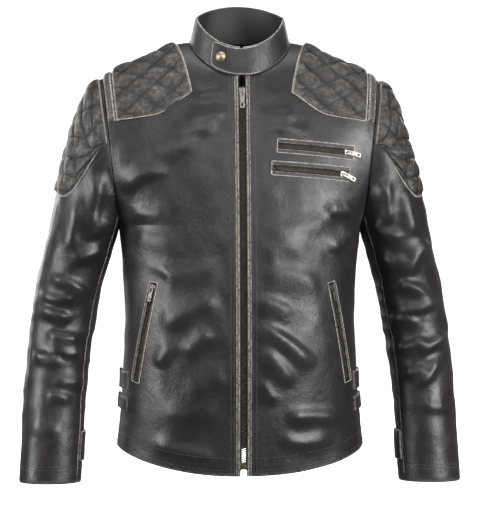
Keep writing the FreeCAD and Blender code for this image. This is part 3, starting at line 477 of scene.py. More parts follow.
def add(name, vertices, faces, material, slot, body="jacket", **layers):
    mesh = bpy.data.meshes.new(name)
    mesh.from_pydata(np.asarray(vertices, float).tolist(), [],
                     faces if isinstance(faces, list) else faces.tolist())
    mesh.update()
    for key, values in layers.items():
        paint(mesh, key, values)
    mesh.polygons.foreach_set("use_smooth", [True] * len(mesh.polygons))
    mesh.materials.append(material)
    return on_body(into_scene(name, mesh), body, slot)


def grid_faces(rows, columns, flip, closed=False):
    u, v = np.meshgrid(np.arange(rows - 1), np.arange(columns - (0 if closed else 1)), indexing="ij")
    w = (v + 1) % columns
    faces = np.stack([u * columns + v, u * columns + w, (u + 1) * columns + w, (u + 1) * columns + v],
                     axis=-1)
    faces = faces.reshape(-1, 4)
    return faces[:, ::-1] if flip else faces


def grid(name, points, outward, material, closed=False, **more):
    """A piece from a grid of points; outward is a point grid's rough outward direction."""
    rows, columns = points.shape[:2]
    i, j = rows // 2, columns // 2
    face = np.cross(points[i, (j + 1) % columns] - points[i, j], points[i + 1, j] - points[i, j])
    flip = np.dot(face, outward[i, j]) < 0
    layers = {k: v for k, v in more.items() if isinstance(v, np.ndarray)}
    rest = {k: v for k, v in more.items() if not isinstance(v, np.ndarray)}
    return add(name, points.reshape(-1, 3), grid_faces(rows, columns, flip, closed), material, **rest,
               **layers)


def edged(low, high, count, size):
    """Parameters from low to high, with close ones at the rolled rims, and how far each lies under
    the face. size is the whole length in metres."""
    near, under = np.array([(0.0, .0016), (.0003, .0006), (.0010, .00015)]).T
    even = np.linspace(0, 1, count)
    middle = even[(even > .0020 / size) & (even < 1 - .0020 / size)]
    share = np.concatenate([near / size, middle, 1 - near[::-1] / size])
    return low + (high - low) * share, -np.concatenate([under, 0 * middle, under[::-1]])


def tube(name, path, radius, material, sides=6, **more):
    """A thin round piece along a line of points."""
    path = np.asarray(path, float)
    ahead = unit(np.gradient(path, axis=0))
    first = unit(np.cross(ahead, np.tile((0.31, 0.17, 0.93), (len(path), 1))))
    second = np.cross(ahead, first)
    turn = np.linspace(0, 2 * math.pi, sides, endpoint=False)
    radius = np.broadcast_to(radius, (len(path),))[:, None, None]
    ring = first[:, None] * np.cos(turn)[None, :, None] + second[:, None] * np.sin(turn)[None, :, None]
    points = path[:, None] + ring * radius
    faces = grid_faces(len(path), sides, False, closed=True).tolist()
    faces += [list(range(sides)), [(len(path) - 1) * sides + k for k in reversed(range(sides))]]
    return add(name, points.reshape(-1, 3), faces, material, **more)


def spaced(path, pitch):
    """Points along a line at an even pitch, with the line's direction at each."""
    path = np.asarray(path, float)
    length = np.concatenate([[0], np.cumsum(np.linalg.norm(np.diff(path, axis=0), axis=1))])
    places = np.arange(pitch / 2, length[-1], pitch)
    points = np.stack([np.interp(places, length, path[:, k]) for k in range(3)], axis=-1)
    ahead = np.stack([np.interp(places + pitch * .25, length, path[:, k]) for k in range(3)],
                     axis=-1) - points
    return points, unit(ahead)


def stitches(name, paths, material, pitch=.0034, body="jacket", thick=.00042):
    """Rows of thread stitches: each is a short rounded bar that dips at both ends."""
    vertices, faces = [], []
    for path, out in paths:
        points, ahead = spaced(path, pitch)
        outs = np.stack([np.interp(np.linspace(0, 1, len(points)), np.linspace(0, 1, len(path)), out[:, k])
                         for k in range(3)], axis=-1)
        aside = unit(np.cross(ahead, outs))
        half = pitch * .36
        for p, a, s, n in zip(points, ahead, aside, unit(outs)):
            base = len(vertices)
            vertices += [p - a * half - n * thick * .8]
            for along in (-.62, .62):
                at = p + a * half * along + n * thick * .5
                vertices += [at + s * thick * .8, at + n * thick, at - s * thick * .8, at - n * thick]
            vertices += [p + a * half - n * thick * .8]
            for k in range(4):
                m = (k + 1) % 4
                faces += [[base, base + 1 + m, base + 1 + k], [base + 9, base + 5 + k, base + 5 + m],
                          [base + 1 + k, base + 1 + m, base + 5 + m, base + 5 + k]]
    return add(name, vertices, faces, material, body=body, slot="worn_leather")


# ---------------------------------------------------------------- materials

class Nodes:
    """A material's node tree, with a short way to add nodes and join them."""

    def __init__(self, name):
        self.material = bpy.data.materials.new(name)
        self.material.use_nodes = True
        self.tree = self.material.node_tree
        self.shader = self.tree.nodes["Principled BSDF"]
        self.place = self.add("ShaderNodeTexCoord").outputs["Object"]

    def add(self, kind, **settings):
        node = self.tree.nodes.new(kind)
        for key, value in settings.items():
            if key in node.inputs:
                node.inputs[key].default_value = value
            else:
                setattr(node, key, value)
        return node

    def link(self, a, b):
        self.tree.links.new(a, b)

    def feed(self, socket, value):
        """Sets a socket to a colour or a number, or links another node's output to it."""
        if isinstance(value, tuple):
            socket.default_value = (*value, 1)
        elif isinstance(value, (int, float)):
            socket.default_value = value
        else:
            self.link(value, socket)

    def noise(self, scale, detail=4.0, rough=0.55, warp=0.0):
        node = self.add("ShaderNodeTexNoise", Scale=scale, Detail=detail, Roughness=rough, Distortion=warp)
        self.link(self.place, node.inputs["Vector"])
        return node.outputs["Fac"]

    def cells(self, scale, feature="F1"):
        node = self.add("ShaderNodeTexVoronoi", Scale=scale, feature=feature)
        self.link(self.place, node.inputs["Vector"])
        return node.outputs["Distance"]

    def attribute(self, name):
        return self.add("ShaderNodeAttribute", attribute_name=name).outputs["Fac"]

    def ramp(self, value, *stops):
        node = self.add("ShaderNodeValToRGB")
        node.color_ramp.elements.remove(node.color_ramp.elements[1])
        for k, (at, colour) in enumerate(stops):
            stop = node.color_ramp.elements[0] if k == 0 else node.color_ramp.elements.new(at)
            stop.position = at
            stop.color = (*colour, 1) if isinstance(colour, tuple) else (colour, colour, colour, 1)
        self.link(value, node.inputs["Fac"])
        return node.outputs["Color"]

    def math(self, operation, a, b=0.5, clamp=False):
        node = self.add("ShaderNodeMath", operation=operation, use_clamp=clamp)
        for socket, value in zip(node.inputs, (a, b)):
            self.feed(socket, value)
        return node.outputs[0]

    def mix(self, share, a, b):
        node = self.add("ShaderNodeMix", data_type="RGBA")
        kinds = (("Factor", "VALUE", share), ("A", "RGBA", a), ("B", "RGBA", b))
        for name, kind, value in kinds:
            self.feed(next(s for s in node.inputs if s.name == name and s.type == kind), value)
        return next(s for s in node.outputs if s.type == "RGBA")

    def bump(self, *layers):
        """Bumps one over another, each a height and a distance in metres."""
        below = None
        for height, distance in layers:
            node = self.add("ShaderNodeBump", Strength=1.0, Distance=distance)
            self.link(height, node.inputs["Height"])
            if below:
                self.link(below, node.inputs["Normal"])
            below = node.outputs["Normal"]
        self.link(below, self.shader.inputs["Normal"])

    def finish(self, colour, roughness, metallic=0.0, **settings):
        self.feed(self.shader.inputs["Base Color"], colour)
        self.feed(self.shader.inputs["Roughness"], roughness)
        self.shader.inputs["Metallic"].default_value = metallic
        for key, value in settings.items():
            self.shader.inputs[key].default_value = value
        return self.material


def leather_material():
    """Waxed dark leather: cloudy colour, a fine grain, creases and paler rubbed places."""
    m = Nodes("waxed_leather")
    cloud = m.math("ADD", m.math("MULTIPLY", m.noise(7, 5, .6), .6),
                   m.math("MULTIPLY", m.noise(38, 5, .6, .6), .4))
    base = m.ramp(cloud, (.30, (.008, .0066, .0076)), (.52, (.016, .0133, .0151)),
                  (.72, (.034, .0290, .0328)))
    rubbed = m.math("MULTIPLY", m.attribute("wear"), m.ramp(m.noise(240, 6, .7), (.38, 0.0), (.62, 1.0)))
    colour = m.mix(m.math("MULTIPLY", rubbed, .85, True), base, (.30, .275, .265))
    rough = m.ramp(m.noise(22, 4, .6), (.30, .30), (.70, .47))
    grain = m.cells(950)
    crease = m.ramp(m.noise(52, 6, .55, 1.6), (.40, 0.0), (.50, 1.0), (.60, 0.0))
    m.bump((crease, .00010), (m.noise(150, 5, .6), .00020), (m.noise(24, 4, .55, .8), .0007), (grain, .00007))
    return m.finish(colour, rough, **{"Specular IOR Level": .50, "Sheen Weight": .06, "Sheen Roughness": .5})


def quilt_material():
    """Distressed grey-brown leather with painted shade: dark in the stitched channels and lighter on the
    crowns by their height, and scratched pale on the crowns.
    """
    m = Nodes("distressed_quilt_channel_shade")
    puff = m.attribute("puff")
    mottle = m.ramp(m.noise(130, 10, .80, .5), (.47, 0.0), (.66, 1.0))
    broad = m.ramp(m.noise(42, 5, .65), (.36, .12), (.66, 1.0))
    raised = m.ramp(puff, (.10, 0.0), (.80, 1.0))
    share = m.math("MULTIPLY", m.math("MULTIPLY", mottle, broad),
                   m.math("ADD", m.math("MULTIPLY", raised, .85), .10))
    # painted shade: the base colour runs from near black in the stitched channels to lighter on the crowns,
    # following the pad's height (puff)
    base = m.ramp(puff, (.04, (.004, .0033, .003)), (.40, (.013, .0108, .0098)), (1, (.030, .0255, .0228)))
    colour = m.mix(m.math("MULTIPLY", share, .90, True), base, (.30, .278, .252))
    colour = m.mix(m.math("MULTIPLY", m.attribute("wear"),
                          m.ramp(m.noise(260, 6, .7), (.30, .2), (.60, 1.0)), True),
                   colour, (.42, .39, .355))
    m.bump((m.ramp(m.noise(85, 7, .6, 1.2), (.42, 0.0), (.50, 1.0), (.58, 0.0)), .00022),
           (m.noise(210, 7, .7), .0003),
           (m.cells(800), .00008))
    return m.finish(colour, m.ramp(mottle, (0, .42), (1, .66)))


def worn_edge_material():
    """A rolled leather edge whose dark finish is rubbed through to the pale hide."""
    m = Nodes("worn_edge")
    mottle = m.ramp(m.noise(330, 8, .78), (.42, 0.0), (.56, 1.0))
    share = m.math("MULTIPLY", mottle, m.math("ADD", m.math("MULTIPLY", m.attribute("wear"), .98), .05), True)
    colour = m.mix(share, (.018, .015, .016), (.60, .565, .51))
    m.bump((m.noise(420, 5, .6), .0002), (m.cells(900), .00006))
    return m.finish(colour, m.ramp(mottle, (0, .42), (1, .62)))


def pale_material(name, dark, pale):
    """Thread or a rubbed seam edge, mottled from dark to pale."""
    m = Nodes(name)
    colour = m.ramp(m.noise(200, 6, .7), (.34, dark), (.62, pale))
    m.bump((m.noise(900, 3, .5), .00012))
    return m.finish(colour, .68)


def lining_material():
    m = Nodes("satin_lining")
    weave = m.add("ShaderNodeTexWave", Scale=620, Distortion=.6, Detail=1)
    m.link(m.place, weave.inputs["Vector"])
    colour = m.ramp(m.noise(16, 3, .5), (.3, (.0055, .0045, .0065)), (.7, (.0095, .0080, .0110)))
    m.bump((weave.outputs["Fac"], .00005), (m.noise(46, 4, .5), .0006))
    return m.finish(colour, .55, **{"Sheen Weight": .10})


def tape_material():
    m = Nodes("zip_tape")
    weave = m.add("ShaderNodeTexWave", Scale=900, Distortion=.3, bands_direction="Z")
    m.link(m.place, weave.inputs["Vector"])
    colour = m.ramp(m.noise(180, 5, .6), (.3, (.008, .0075, .008)), (.7, (.022, .020, .020)))
    m.bump((weave.outputs["Fac"], .0001))
    return m.finish(colour, .8)


def metal_material(name, dark, bright, rough):
    """Antique plated metal: dark tarnish in patches, rubbed bright elsewhere."""
    m = Nodes(name)
    tarnish = m.noise(420, 6, .65)
    colour = m.ramp(tarnish, (.34, dark), (.60, bright))
    m.bump((m.noise(1300, 3, .5), .00003))
    return m.finish(colour, m.ramp(m.noise(600, 4, .6), (.3, rough), (.7, rough + .22)), 1.0)


LEATHER_SKIN = leather_material()
QUILT_SKIN = quilt_material()
EDGE = worn_edge_material()
THREAD = pale_material("worn_thread", (.022, .019, .019), (.20, .18, .165))
PALE_EDGE = pale_material("rubbed_edge", (.15, .135, .12), (.72, .68, .61))
LINING = lining_material()
TAPE = tape_material()
BRASS = metal_material("antique_brass", (.045, .036, .026), (.27, .225, .155), .38)
SNAP_BRASS = metal_material("brass_cap", (.30, .24, .15), (.52, .44, .30), .32)
NICKEL = metal_material("antique_nickel", (.10, .092, .083), (.36, .345, .315), .30)


# ---------------------------------------------------------------- the shell

def side_angle(h, front):
    """The angle of a body panel's side edge: the side seam, or the armhole where there is one."""
    inside = (h > ARMPIT) & (h < SHOULDER)
    return np.where(inside, armhole_angle(h, 1 if front else -1, .0003), 0.0)


def edge_angle(distance, h):
    across = distance / half_width(h, True)
    n = roundness(h)
    return np.arctan2(np.sqrt(1 - across ** n), across ** (n / 2))


def panel_rows():
    """Heights of a body panel's rows, with how far each lies under the face: a folded hem, rows
    close together where the armhole begins and ends, and a turned edge at the neck."""
    close = np.array([.0002, .0010, .0025, .0045, .0075, .0110])
    heights = np.concatenate([
        np.linspace(HEM + .0035, ARMPIT - .003, 104), ARMPIT - np.array([.0006]), ARMPIT + close,
        np.linspace(ARMPIT + .0145, SHOULDER - .0145, 66), SHOULDER - close[::-1],
        SHOULDER + np.array([.0006]),
        np.linspace(SHOULDER + .003, NECK - .003, 19)])
    hem = [(HEM + .020, -.0032), (HEM + .010, -.0030), (HEM + .0010, -.0028), (HEM + .0001, -.0016),
           (HEM + .0002, -.0006), (HEM + .0014, -.0001)]
    neck = [(NECK - .0012, -.0001), (NECK - .0004, -.0006), (NECK - .0001, -.0016)]
    rows = np.array(hem + [(h, 0.0) for h in heights] + neck)
    return rows[:, 0], rows[:, 1]


def wear_near(distance, reach=.004):
    return np.clip(1 - distance / reach, 0, 1)


def body_panel(name, first, last, count, size):
    heights, under_rows = panel_rows()
    us, under = edged(0, 1, count, size)
    start, end = first(heights), last(heights)
    angle = start[None, :] + (end - start)[None, :] * us[:, None]
    h = np.broadcast_to(heights, angle.shape)
    out = np.minimum(under[:, None], under_rows[None, :])
    points = shell(angle, h, out)
    flat = body_point(angle, h)
    wear = np.maximum(wear_near(h - HEM, .005) * .8, smooth((body_relief(flat) - .0034) / .005) * .06)
    return grid(name, points, (points - BASE) * (1, 1, 0), LEATHER_SKIN, slot="leather", wear=wear)


SLOT_HALF = .0052


def keep_clear(piece, tracks):
    """Opens the leather over the pocket zips: takes out the faces that lie over each slot."""
    mesh = piece.data
    centres = np.array([face.center for face in mesh.polygons])
    gone = np.zeros(len(centres), bool)
    for track in tracks:
        gap = centres - track.centre
        along = np.arctan2(gap @ track.ahead, gap @ track.out) * track.radius
        gone |= (np.abs(gap @ track.side) < SLOT_HALF) & (np.abs(along) < track.half
                                                      + .0015) & (gap @ track.out > 0)
    faces = [tuple(f.vertices) for f, lost in zip(mesh.polygons, gone) if not lost]
    vertices = [v.co.copy() for v in mesh.vertices]
    wear = np.zeros(len(vertices), np.float32)
    mesh.attributes["wear"].data.foreach_get("value", wear)
    mesh.clear_geometry()
    mesh.from_pydata(vertices, [], faces)
    paint(mesh, "wear", wear)
    mesh.polygons.foreach_set("use_smooth", [True] * len(mesh.polygons))
    mesh.update()


class Track:
    """The arc of a zip, from its first point to its last, drawn sink metres under the leather."""

    def __init__(self, first, middle, last, outward, sink):
        chord = last - first
        self.length = np.linalg.norm(chord)
        self.ahead = chord / self.length
        self.out = unit(outward - self.ahead * (outward @ self.ahead))
        centre = (first + last) / 2
        rise = max((middle - centre) @ self.out, .0003)
        radius = (self.length ** 2 / 4 + rise ** 2) / (2 * rise)
        self.centre = centre + self.out * (rise - radius)
        self.half = (radius - sink) * math.asin(self.length / 2 / radius)
        self.radius, self.sink = radius - sink, sink
        self.side = np.cross(self.ahead, self.out)

    def axes(self, along):
        turn = np.asarray(along, float)[..., None] / self.radius
        ahead = self.ahead * np.cos(turn) - self.out * np.sin(turn)
        out = self.out * np.cos(turn) + self.ahead * np.sin(turn)
        return self.centre + out * self.radius, ahead, out

    def point(self, along, lift=0.0, aside=0.0):
        place, _, out = self.axes(along)
        lift, aside = np.asarray(lift, float)[..., None], np.asarray(aside, float)[..., None]
        return place + out * lift + self.side * aside

    def matrix(self, along, twist=0.0):
        """Where a piece drawn with x aside, y along and z outward goes on the zip."""
        place, ahead, out = self.axes(along)
        turned = Matrix([[*column] for column in np.stack([self.side, ahead, out], axis=1)]).to_4x4()
        return Matrix.Translation(Vector(place)) @ turned @ Matrix.Rotation(math.radians(twist), 4, "Z")


MAIN_SINK, POCKET_SINK = .003, .0023


def pocket_track(start, end):
    xs = np.linspace(start[0], end[0], 3)
    zs = np.linspace(start[1], end[1], 3)
    angle, h = front_at(xs, zs)
    points = body_point(angle, h)
    return Track(*(points + BASE), body_normal(angle, h)[1], POCKET_SINK)


def centre_front(z):
    return np.array([0, -front_profile(z), z]) + BASE


TRACKS = {
    "main": Track(centre_front(.590), centre_front(.2995), centre_front(.009), np.array([0., -1, 0]),
                  MAIN_SINK),
    "chest_upper": pocket_track((.055, .495), (.167, .485)),
    "chest_lower": pocket_track((.046, .461), (.160, .452)),
    "hand_left": pocket_track((.134, .287), (.161, .141)),
    "hand_right": pocket_track((-.134, .287), (-.161, .141)),
}
ZIP_GAP = .006


def make_shell():
    left = body_panel("shell_front_left", lambda h: edge_angle(ZIP_GAP, h), lambda h: side_angle(h, True), 60,
                      .20)
    keep_clear(left, [TRACKS[n] for n in ("chest_upper", "chest_lower", "hand_left")])
    right = body_panel("shell_front_right", lambda h: math.pi - edge_angle(ZIP_GAP, h),
                       lambda h: math.pi - side_angle(h, True), 60, .40)
    keep_clear(right, [TRACKS["hand_right"]])
    back = body_panel("shell_back", lambda h: -side_angle(h, False),
                      lambda h: -math.pi + side_angle(h, False), 122, .40)
    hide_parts("front_panel_left")
    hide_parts("front_panel_right")
    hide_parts("back_panel", "hem_facing")


FRONT_SEAM, BACK_SEAM = math.radians(150), math.radians(335)


def sleeve_rows():
    shares = np.linspace(.0125, .988, 178)
    rows = ([(.0002, -.0016), (.0008, -.0006), (.0022, -.0001)] + [(.0045, 0), (.008, 0)]
            + [(s, 0.0) for s in shares]
            + [(.9920, 0), (.9960, -.0001), (.9985, -.0005), (.9996, -.0014), (.9990, -.0024), (.985, -.0030),
               (.955, -.0031)])
    return np.array(rows).T


def sleeve_axis(share, side):
    return (line_point(OUTER, share) + line_point(INNER, share)) / 2 * (side, 1, 1) + BASE


def make_sleeves():
    shares, under_rows = sleeve_rows()
    halves = (("upper", BACK_SEAM - 2 * math.pi, FRONT_SEAM, 60), ("under", FRONT_SEAM, BACK_SEAM, 56))
    for side, word in SIDES:
        for name, low, high, count in halves:
            turns, under = edged(low + .003, high - .003, count, .17)
            turn, share = np.meshgrid(turns, shares, indexing="ij")
            points = arm(turn, share, np.minimum(under[:, None], under_rows[None, :]), side)
            relief = sleeve_relief(sleeve_point(turn, share), side)
            wear = np.maximum(wear_near((1 - share) * .62, .004) * .8, smooth((relief - .0040) / .005) * .06)
            piece = grid(f"{name}_sleeve_skin_{word}", points, points - sleeve_axis(share, side),
                         LEATHER_SKIN,
                         slot="leather", wear=wear)
            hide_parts(f"{name}_sleeve_{word}")
        turn, share = np.meshgrid(np.linspace(0, 2 * math.pi, 60, endpoint=False),
                                  np.linspace(.03, .985, 120))
        points = arm(turn, share, -.0042, side)
        inner = grid(f"sleeve_lining_{word}", points, sleeve_axis(share, side) - points, LINING, closed=True,
                     slot="lining")
        if side > 0:
            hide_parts("sleeve_linings", "cuff_facings")


# ---------------------------------------------------------------- quilting

YOKE_NECK = .099
YOKE = {True: (.076, [(0, .580), (.45, .543), (1, .532)]), False: (.070, [(0, .590), (.5, .566), (1, .556)])}
STRIP_WIDTH = .013
CAP_HALF = math.radians(80)


def shoulder_edge(z):
    return armhole_reach(np.minimum(z, SHOULDER))


def over_shoulder(across, along, strip):
    """(angle, h) on the shoulder: across from the neck (0) to the arm (1), and along from the
    lower edge in front (-1) over the ridge (0) to the lower edge behind (1)."""
    far = np.abs(along)
    front = along < 0
    corner = np.where(front, YOKE[True][0], YOKE[False][0])
    neck = YOKE_NECK + (corner - YOKE_NECK) * far

    def reach(z):
        if strip:
            return shoulder_edge(z) - STRIP_WIDTH - .0015, shoulder_edge(z) - .0012
        return neck, shoulder_edge(z) - STRIP_WIDTH - .003

    crest = reach(np.full(far.shape, SHOULDER))
    start = crest[0] if strip else np.full(far.shape, YOKE_NECK)
    top = ridge_height(start + (crest[1] - start) * across)
    place = .95 + .05 * across if strip else across * .93
    bottom = np.where(front, curve(YOKE[True][1], place), curve(YOKE[False][1], place))
    z = top + (bottom - top) * far ** 2
    low, high = reach(z)
    x = low + (high - low) * across
    ahead, behind = front_at(x, z, True), front_at(x, z, False)
    angle = np.where(front, ahead[0], behind[0])
    return np.where(far < 1e-6, 0.0, angle), np.where(far < 1e-6, top, np.where(front, ahead[1], behind[1]))


def distances(points, axis):
    """Distance along a grid's lines in one direction, from their first point."""
    step = np.linalg.norm(np.diff(points, axis=axis), axis=-1)
    start = np.zeros_like(np.take(step, [0], axis=axis))
    return np.concatenate([start, np.cumsum(step, axis=axis)], axis=axis)


# The quilting's pitch, how far its crowns stand out, and the slopes of its stitch lines in degrees.
QUILT_PITCH = .031
YOKE_LIFT, CAP_LIFT = .0062, .0058
YOKE_SLOPES, CAP_SLOPES = (-41, 63), (-55, 55)


def puffed(p, q, slopes, shift=(0.0, 0.0)):
    """Diamond quilting over distances p and q: 0 along the stitch lines and 1 on the crowns."""
    puff = 1.0
    for slope, offset in zip(slopes, shift):
        across = p * math.cos(math.radians(slope)) + q * math.sin(math.radians(slope))
        puff = puff * np.abs(np.sin(math.pi * (across / QUILT_PITCH + offset)))
    return puff ** .42


def pad(name, place, us, vs, thick, slopes, shift, replaced, middle):
    """A quilted pad: a crowned form over the leather, sewn down along its stitch lines and edges.
    middle is a point under it."""
    u, v = np.meshgrid(us, vs, indexing="ij")
    flat = place(u, v, 0 * u)
    p, q = distances(flat, 0), distances(flat, 1)
    from_edge = np.minimum.reduce([p, p[-1:, :] - p, q, q[:, -1:] - q])
    puff = puffed(p, q - q[:, q.shape[1] // 2][:, None], slopes, shift)
    soft = noise(flat, .012, 6) * .0005 + noise(flat, .005, 7) * .00022
    rim = np.sqrt(np.clip(1 - (1 - np.clip(from_edge / .0055, 0, 1)) ** 2, 0, 1))
    out = -.0004 + rim * (.0016 + (thick - .0016) * puff + soft)
    points = place(u, v, out)
    wear = np.clip(1 - np.abs(from_edge - .0012) / .0016, 0, 1)
    # the puff layer also drives the quilt's painted shade, dark in the channels and lighter on the crowns
    piece = grid(name, points, points - middle, QUILT_SKIN, slot="quilted_leather", wear=wear,
                 puff=puff * rim)
    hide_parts(replaced)


def outline(us, vs):
    """The edge of a pad's grid as one closed line of (u, v)."""
    return np.array([(u, vs[0]) for u in us] + [(us[-1], v) for v in vs[1:]]
                    + [(u, vs[-1]) for u in us[::-1][1:]]
                    + [(us[0], v) for v in vs[::-1][1:]]).T


def make_quilting():
    for side, word in SIDES:
        def shoulder(u, v, out, strip, side=side):
            return shell(*over_shoulder(u, v, strip), out) * (side, 1, 1)

        def yoke(u, v, out, shoulder=shoulder):
            return shoulder(u, v, out, False)

        def cap(u, v, out, side=side):
            end = .05 + .30 * (1 - np.abs(u / CAP_HALF) ** 7)
            return arm(u, .012 + (end - .012) * v, out, side)

        centre = np.array([side * .13, 0, .52]) + BASE
        us, vs = np.linspace(0, 1, 82), np.linspace(-1, 1, 150)
        pad(f"quilted_yoke_{word}", yoke, us, vs, YOKE_LIFT, YOKE_SLOPES, (.12, .42), f"shoulder_yoke_{word}",
            centre)
        ring = outline(us[::3], vs[::3])
        tube(f"yoke_piping_{word}", yoke(*ring, 0 * ring[0] + .0008), .00065, PALE_EDGE, slot="worn_leather")

        u, v = np.meshgrid(np.linspace(0, 1, 15), np.linspace(-1, 1, 120), indexing="ij")
        crown = np.sin(math.pi * np.clip(u, 0, 1)) ** .35
        low_end = np.sqrt(np.clip((1 - np.abs(v)) / .04, 0, 1))
        points = shoulder(u, v, -.0006 + .0042 * crown * np.minimum(1, low_end), True)
        wear = np.clip(1 - np.abs(np.abs(u - .5) - .36) / .10, 0, 1) * .8 + .12
        piece = grid(f"armhole_strip_{word}", points, points - centre, EDGE, slot="worn_leather", wear=wear)
        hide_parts(f"shoulder_strip_{word}")

        us, vs = np.linspace(-CAP_HALF, CAP_HALF, 112), np.linspace(0, 1, 130)
        middle = np.array([side * .225, 0, .46]) + BASE
        pad(f"quilted_cap_{word}", cap, us, vs, CAP_LIFT, CAP_SLOPES, (.30, .18), f"sleeve_cap_{word}",
            middle)
        u = us[::2]
        tube(f"cap_piping_{word}", cap(u, 0 * u + 1, 0 * u + .0008), .00065, PALE_EDGE, slot="worn_leather")


make_shell()
make_sleeves()
make_quilting()


# ---------------------------------------------------------------- zips


def tooth_shape(length, width, height):
    """One zip tooth: a bar that grips the tape at its root, narrows, and ends in a round head."""
    profile = [(0, .50, .50), (.10, .62, .95), (.45, .62, .95), (.62, .50, .80), (.80, .92, .90),
               (.95, .80, .70),
               (1.0, .45, .40)]
    ring = [(1, .5), (.5, 1), (-.5, 1), (-1, .5), (-1, -.5), (-.5, -1), (.5, -1), (1, -.5)]
    points = np.array([[(a * length, y * w * width / 2, z * t * height / 2) for y, z in ring] for a, w,
                       t in profile])
    faces = grid_faces(len(profile), 8, True, closed=True).tolist()
    faces += [list(range(8)), [(len(profile) - 1) * 8 + k for k in reversed(range(8))]]
    return points.reshape(-1, 3), faces


# A row of teeth: its pitch, how far a tooth reaches over its tape, and a tooth's height.
TEETH = {"main": (.0032, .0034, .0028), "pocket": (.0026, .0024, .0024)}
TOOTH_SLOT = .0003


def make_teeth(name, track, start, end, kind, sign, node=None):
    """A row of teeth along a track and the cord that they grip; sign says on which side."""
    pitch, tooth, height = TEETH[kind]
    shape, faces = tooth_shape(tooth, pitch * .66, height)
    along = np.arange(start + (pitch / 2 if sign > 0 else 0), end, pitch)
    place, ahead, out = track.axes(along)
    aside = -track.side * sign
    root = place + track.side * sign * (TOOTH_SLOT + tooth)
    points = (root[:, None] + aside * shape[None, :, 0:1] + ahead[:, None] * shape[None, :, 1:2]
              + out[:, None] * shape[None, :, 2:3])
    count = len(shape)
    every = [[k * count + c for c in face] for k in range(len(along)) for face in faces]
    if sign < 0:
        every = [face[::-1] for face in every]
    piece = add(name, points.reshape(-1, 3), every, BRASS, slot="antique_brass")
    if node:
        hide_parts(node)
    cord = track.point(np.linspace(start, end, 80), 0, sign * (TOOTH_SLOT + tooth + .0002))
    tube(f"{name}_cord", cord, .0009, TAPE, sides=8, slot="zip_tape")


def plate_curve(name, outlines, thickness, bevel, matrix, material, body, slot):
    """A flat plate with holes: rounded outlines filled, given thickness and a soft edge."""
    data = bpy.data.curves.new(name, "CURVE")
    data.dimensions = "2D"
    data.fill_mode = "BOTH"
    data.extrude = thickness / 2 - bevel
    data.bevel_depth = bevel
    data.bevel_resolution = 2
    for points in outlines:
        spline = data.splines.new("POLY")
        spline.points.add(len(points) - 1)
        for point, (x, y) in zip(spline.points, points):
            point.co = (x, y, 0, 1)
        spline.use_cyclic_u = True
    maker = into_scene(name + "_outline", data)
    mesh = bpy.data.meshes.new_from_object(maker)
    bpy.data.objects.remove(maker)
    mesh.transform(matrix)
    mesh.materials.clear()
    mesh.materials.append(material)
    mesh.name = name
    mesh.polygons.foreach_set("use_smooth", [False] * len(mesh.polygons))
    return on_body(into_scene(name, mesh), body, slot)


def rounded_box(x0, x1, y0, y1, radius, steps=5):
    """The outline of a rectangle with round corners."""
    radius = min(radius, (x1 - x0) / 2, (y1 - y0) / 2)
    points = []
    for cx, cy, first in ((x1 - radius, y1 - radius, 0), (x0 + radius, y1 - radius, 90),
                          (x0 + radius, y0 + radius, 180),
                          (x1 - radius, y0 + radius, 270)):
        for t in np.radians(first + np.linspace(0, 90, steps)):
            points.append((cx + radius * math.cos(t), cy + radius * math.sin(t)))
    return points


def slider_outline(width, length):
    """A slider's plate seen from outside: wide at the end where the rows part, narrow at the other."""
    half, end = width / 2, length / 2
    shape = [(-.62, -1), (-.25, -1), (0, -.86), (.25, -1), (.62, -1), (.92, -.80), (1, -.40), (.88, .10),
             (.70, .55),
             (.62, .92), (.48, 1), (-.48, 1), (-.62, .92), (-.70, .55), (-.88, .10), (-1, -.40), (-.92, -.80)]
    line = rounded([(x * half, y * end) for x, y in shape + shape[:1]], 3)[:-1]
    return [tuple(p) for p in line]


# A slider's width and length, and its pull's.
SLIDER_SIZES = {"main": (.0100, .0135, .0070, .0270), "pocket": (.0076, .0100, .0062, .0210)}


def make_slider(name, track, at, twist, kind):
    """A slider's two plates and web, the bail over it, and the pull that hangs from the bail."""
    width, length, pull_width, pull_length = SLIDER_SIZES[kind]
    slider, pull = f"{name}_slider", f"{name}_pull"
    gap, plate = .0017, .0011

    def nickel(name, outlines, thickness, bevel, matrix, body):
        return plate_curve(name, outlines, thickness, bevel, matrix, NICKEL, body, "antique_nickel")

    matrix = track.matrix(at)
    for word, level in (("top", gap + plate / 2), ("back", -gap - plate / 2)):
        cover = nickel(f"{slider}_{word}_plate", [slider_outline(width, length)], plate, .00035,
                       matrix @ Matrix.Translation((0, 0, level)), slider)
        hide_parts(slider)
    nickel(f"{slider}_web", [rounded_box(-.00022, .00022, -length * .48, -length * .05, .0001)],
           2 * gap + .0006,
           .00005, matrix, slider)
    foot = [(-.0029, -.0002), (-.0031, .0014), (-.0024, .0029)]
    arch = foot + [(0, .0034)] + [(-y, z) for y, z in foot[::-1]]
    path = [matrix @ Vector(p) for p in rounded([(0, y, gap + plate + z) for y, z in arch], 5)]
    tube(f"{slider}_bail", path, .00062, NICKEL, sides=8, body=slider, slot="antique_nickel")
    half = pull_width / 2
    eye = rounded_box(-half * .60, half * .60, .0007, .0060, .0009)
    small = rounded_box(-half * .20, half * .20, .0070, .0086, .0006)
    window = rounded_box(-half * .50, half * .50, pull_length * .68, pull_length * .88, .0006)
    body = rounded_box(-half, half, -.0007, pull_length - .0009, .0013)
    at_pull = track.matrix(at, twist) @ Matrix.Translation((0, 0, gap + plate + .0014))
    tab = nickel(pull + "_plate", [body, eye, small, window], .0013, .00032, at_pull, pull)
    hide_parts(pull)
    rib = rounded_box(-half * .78, half * .78, .0094, pull_length * .62, .0008)
    nickel(pull + "_rib", [rib], .0019, .0003, at_pull, pull)


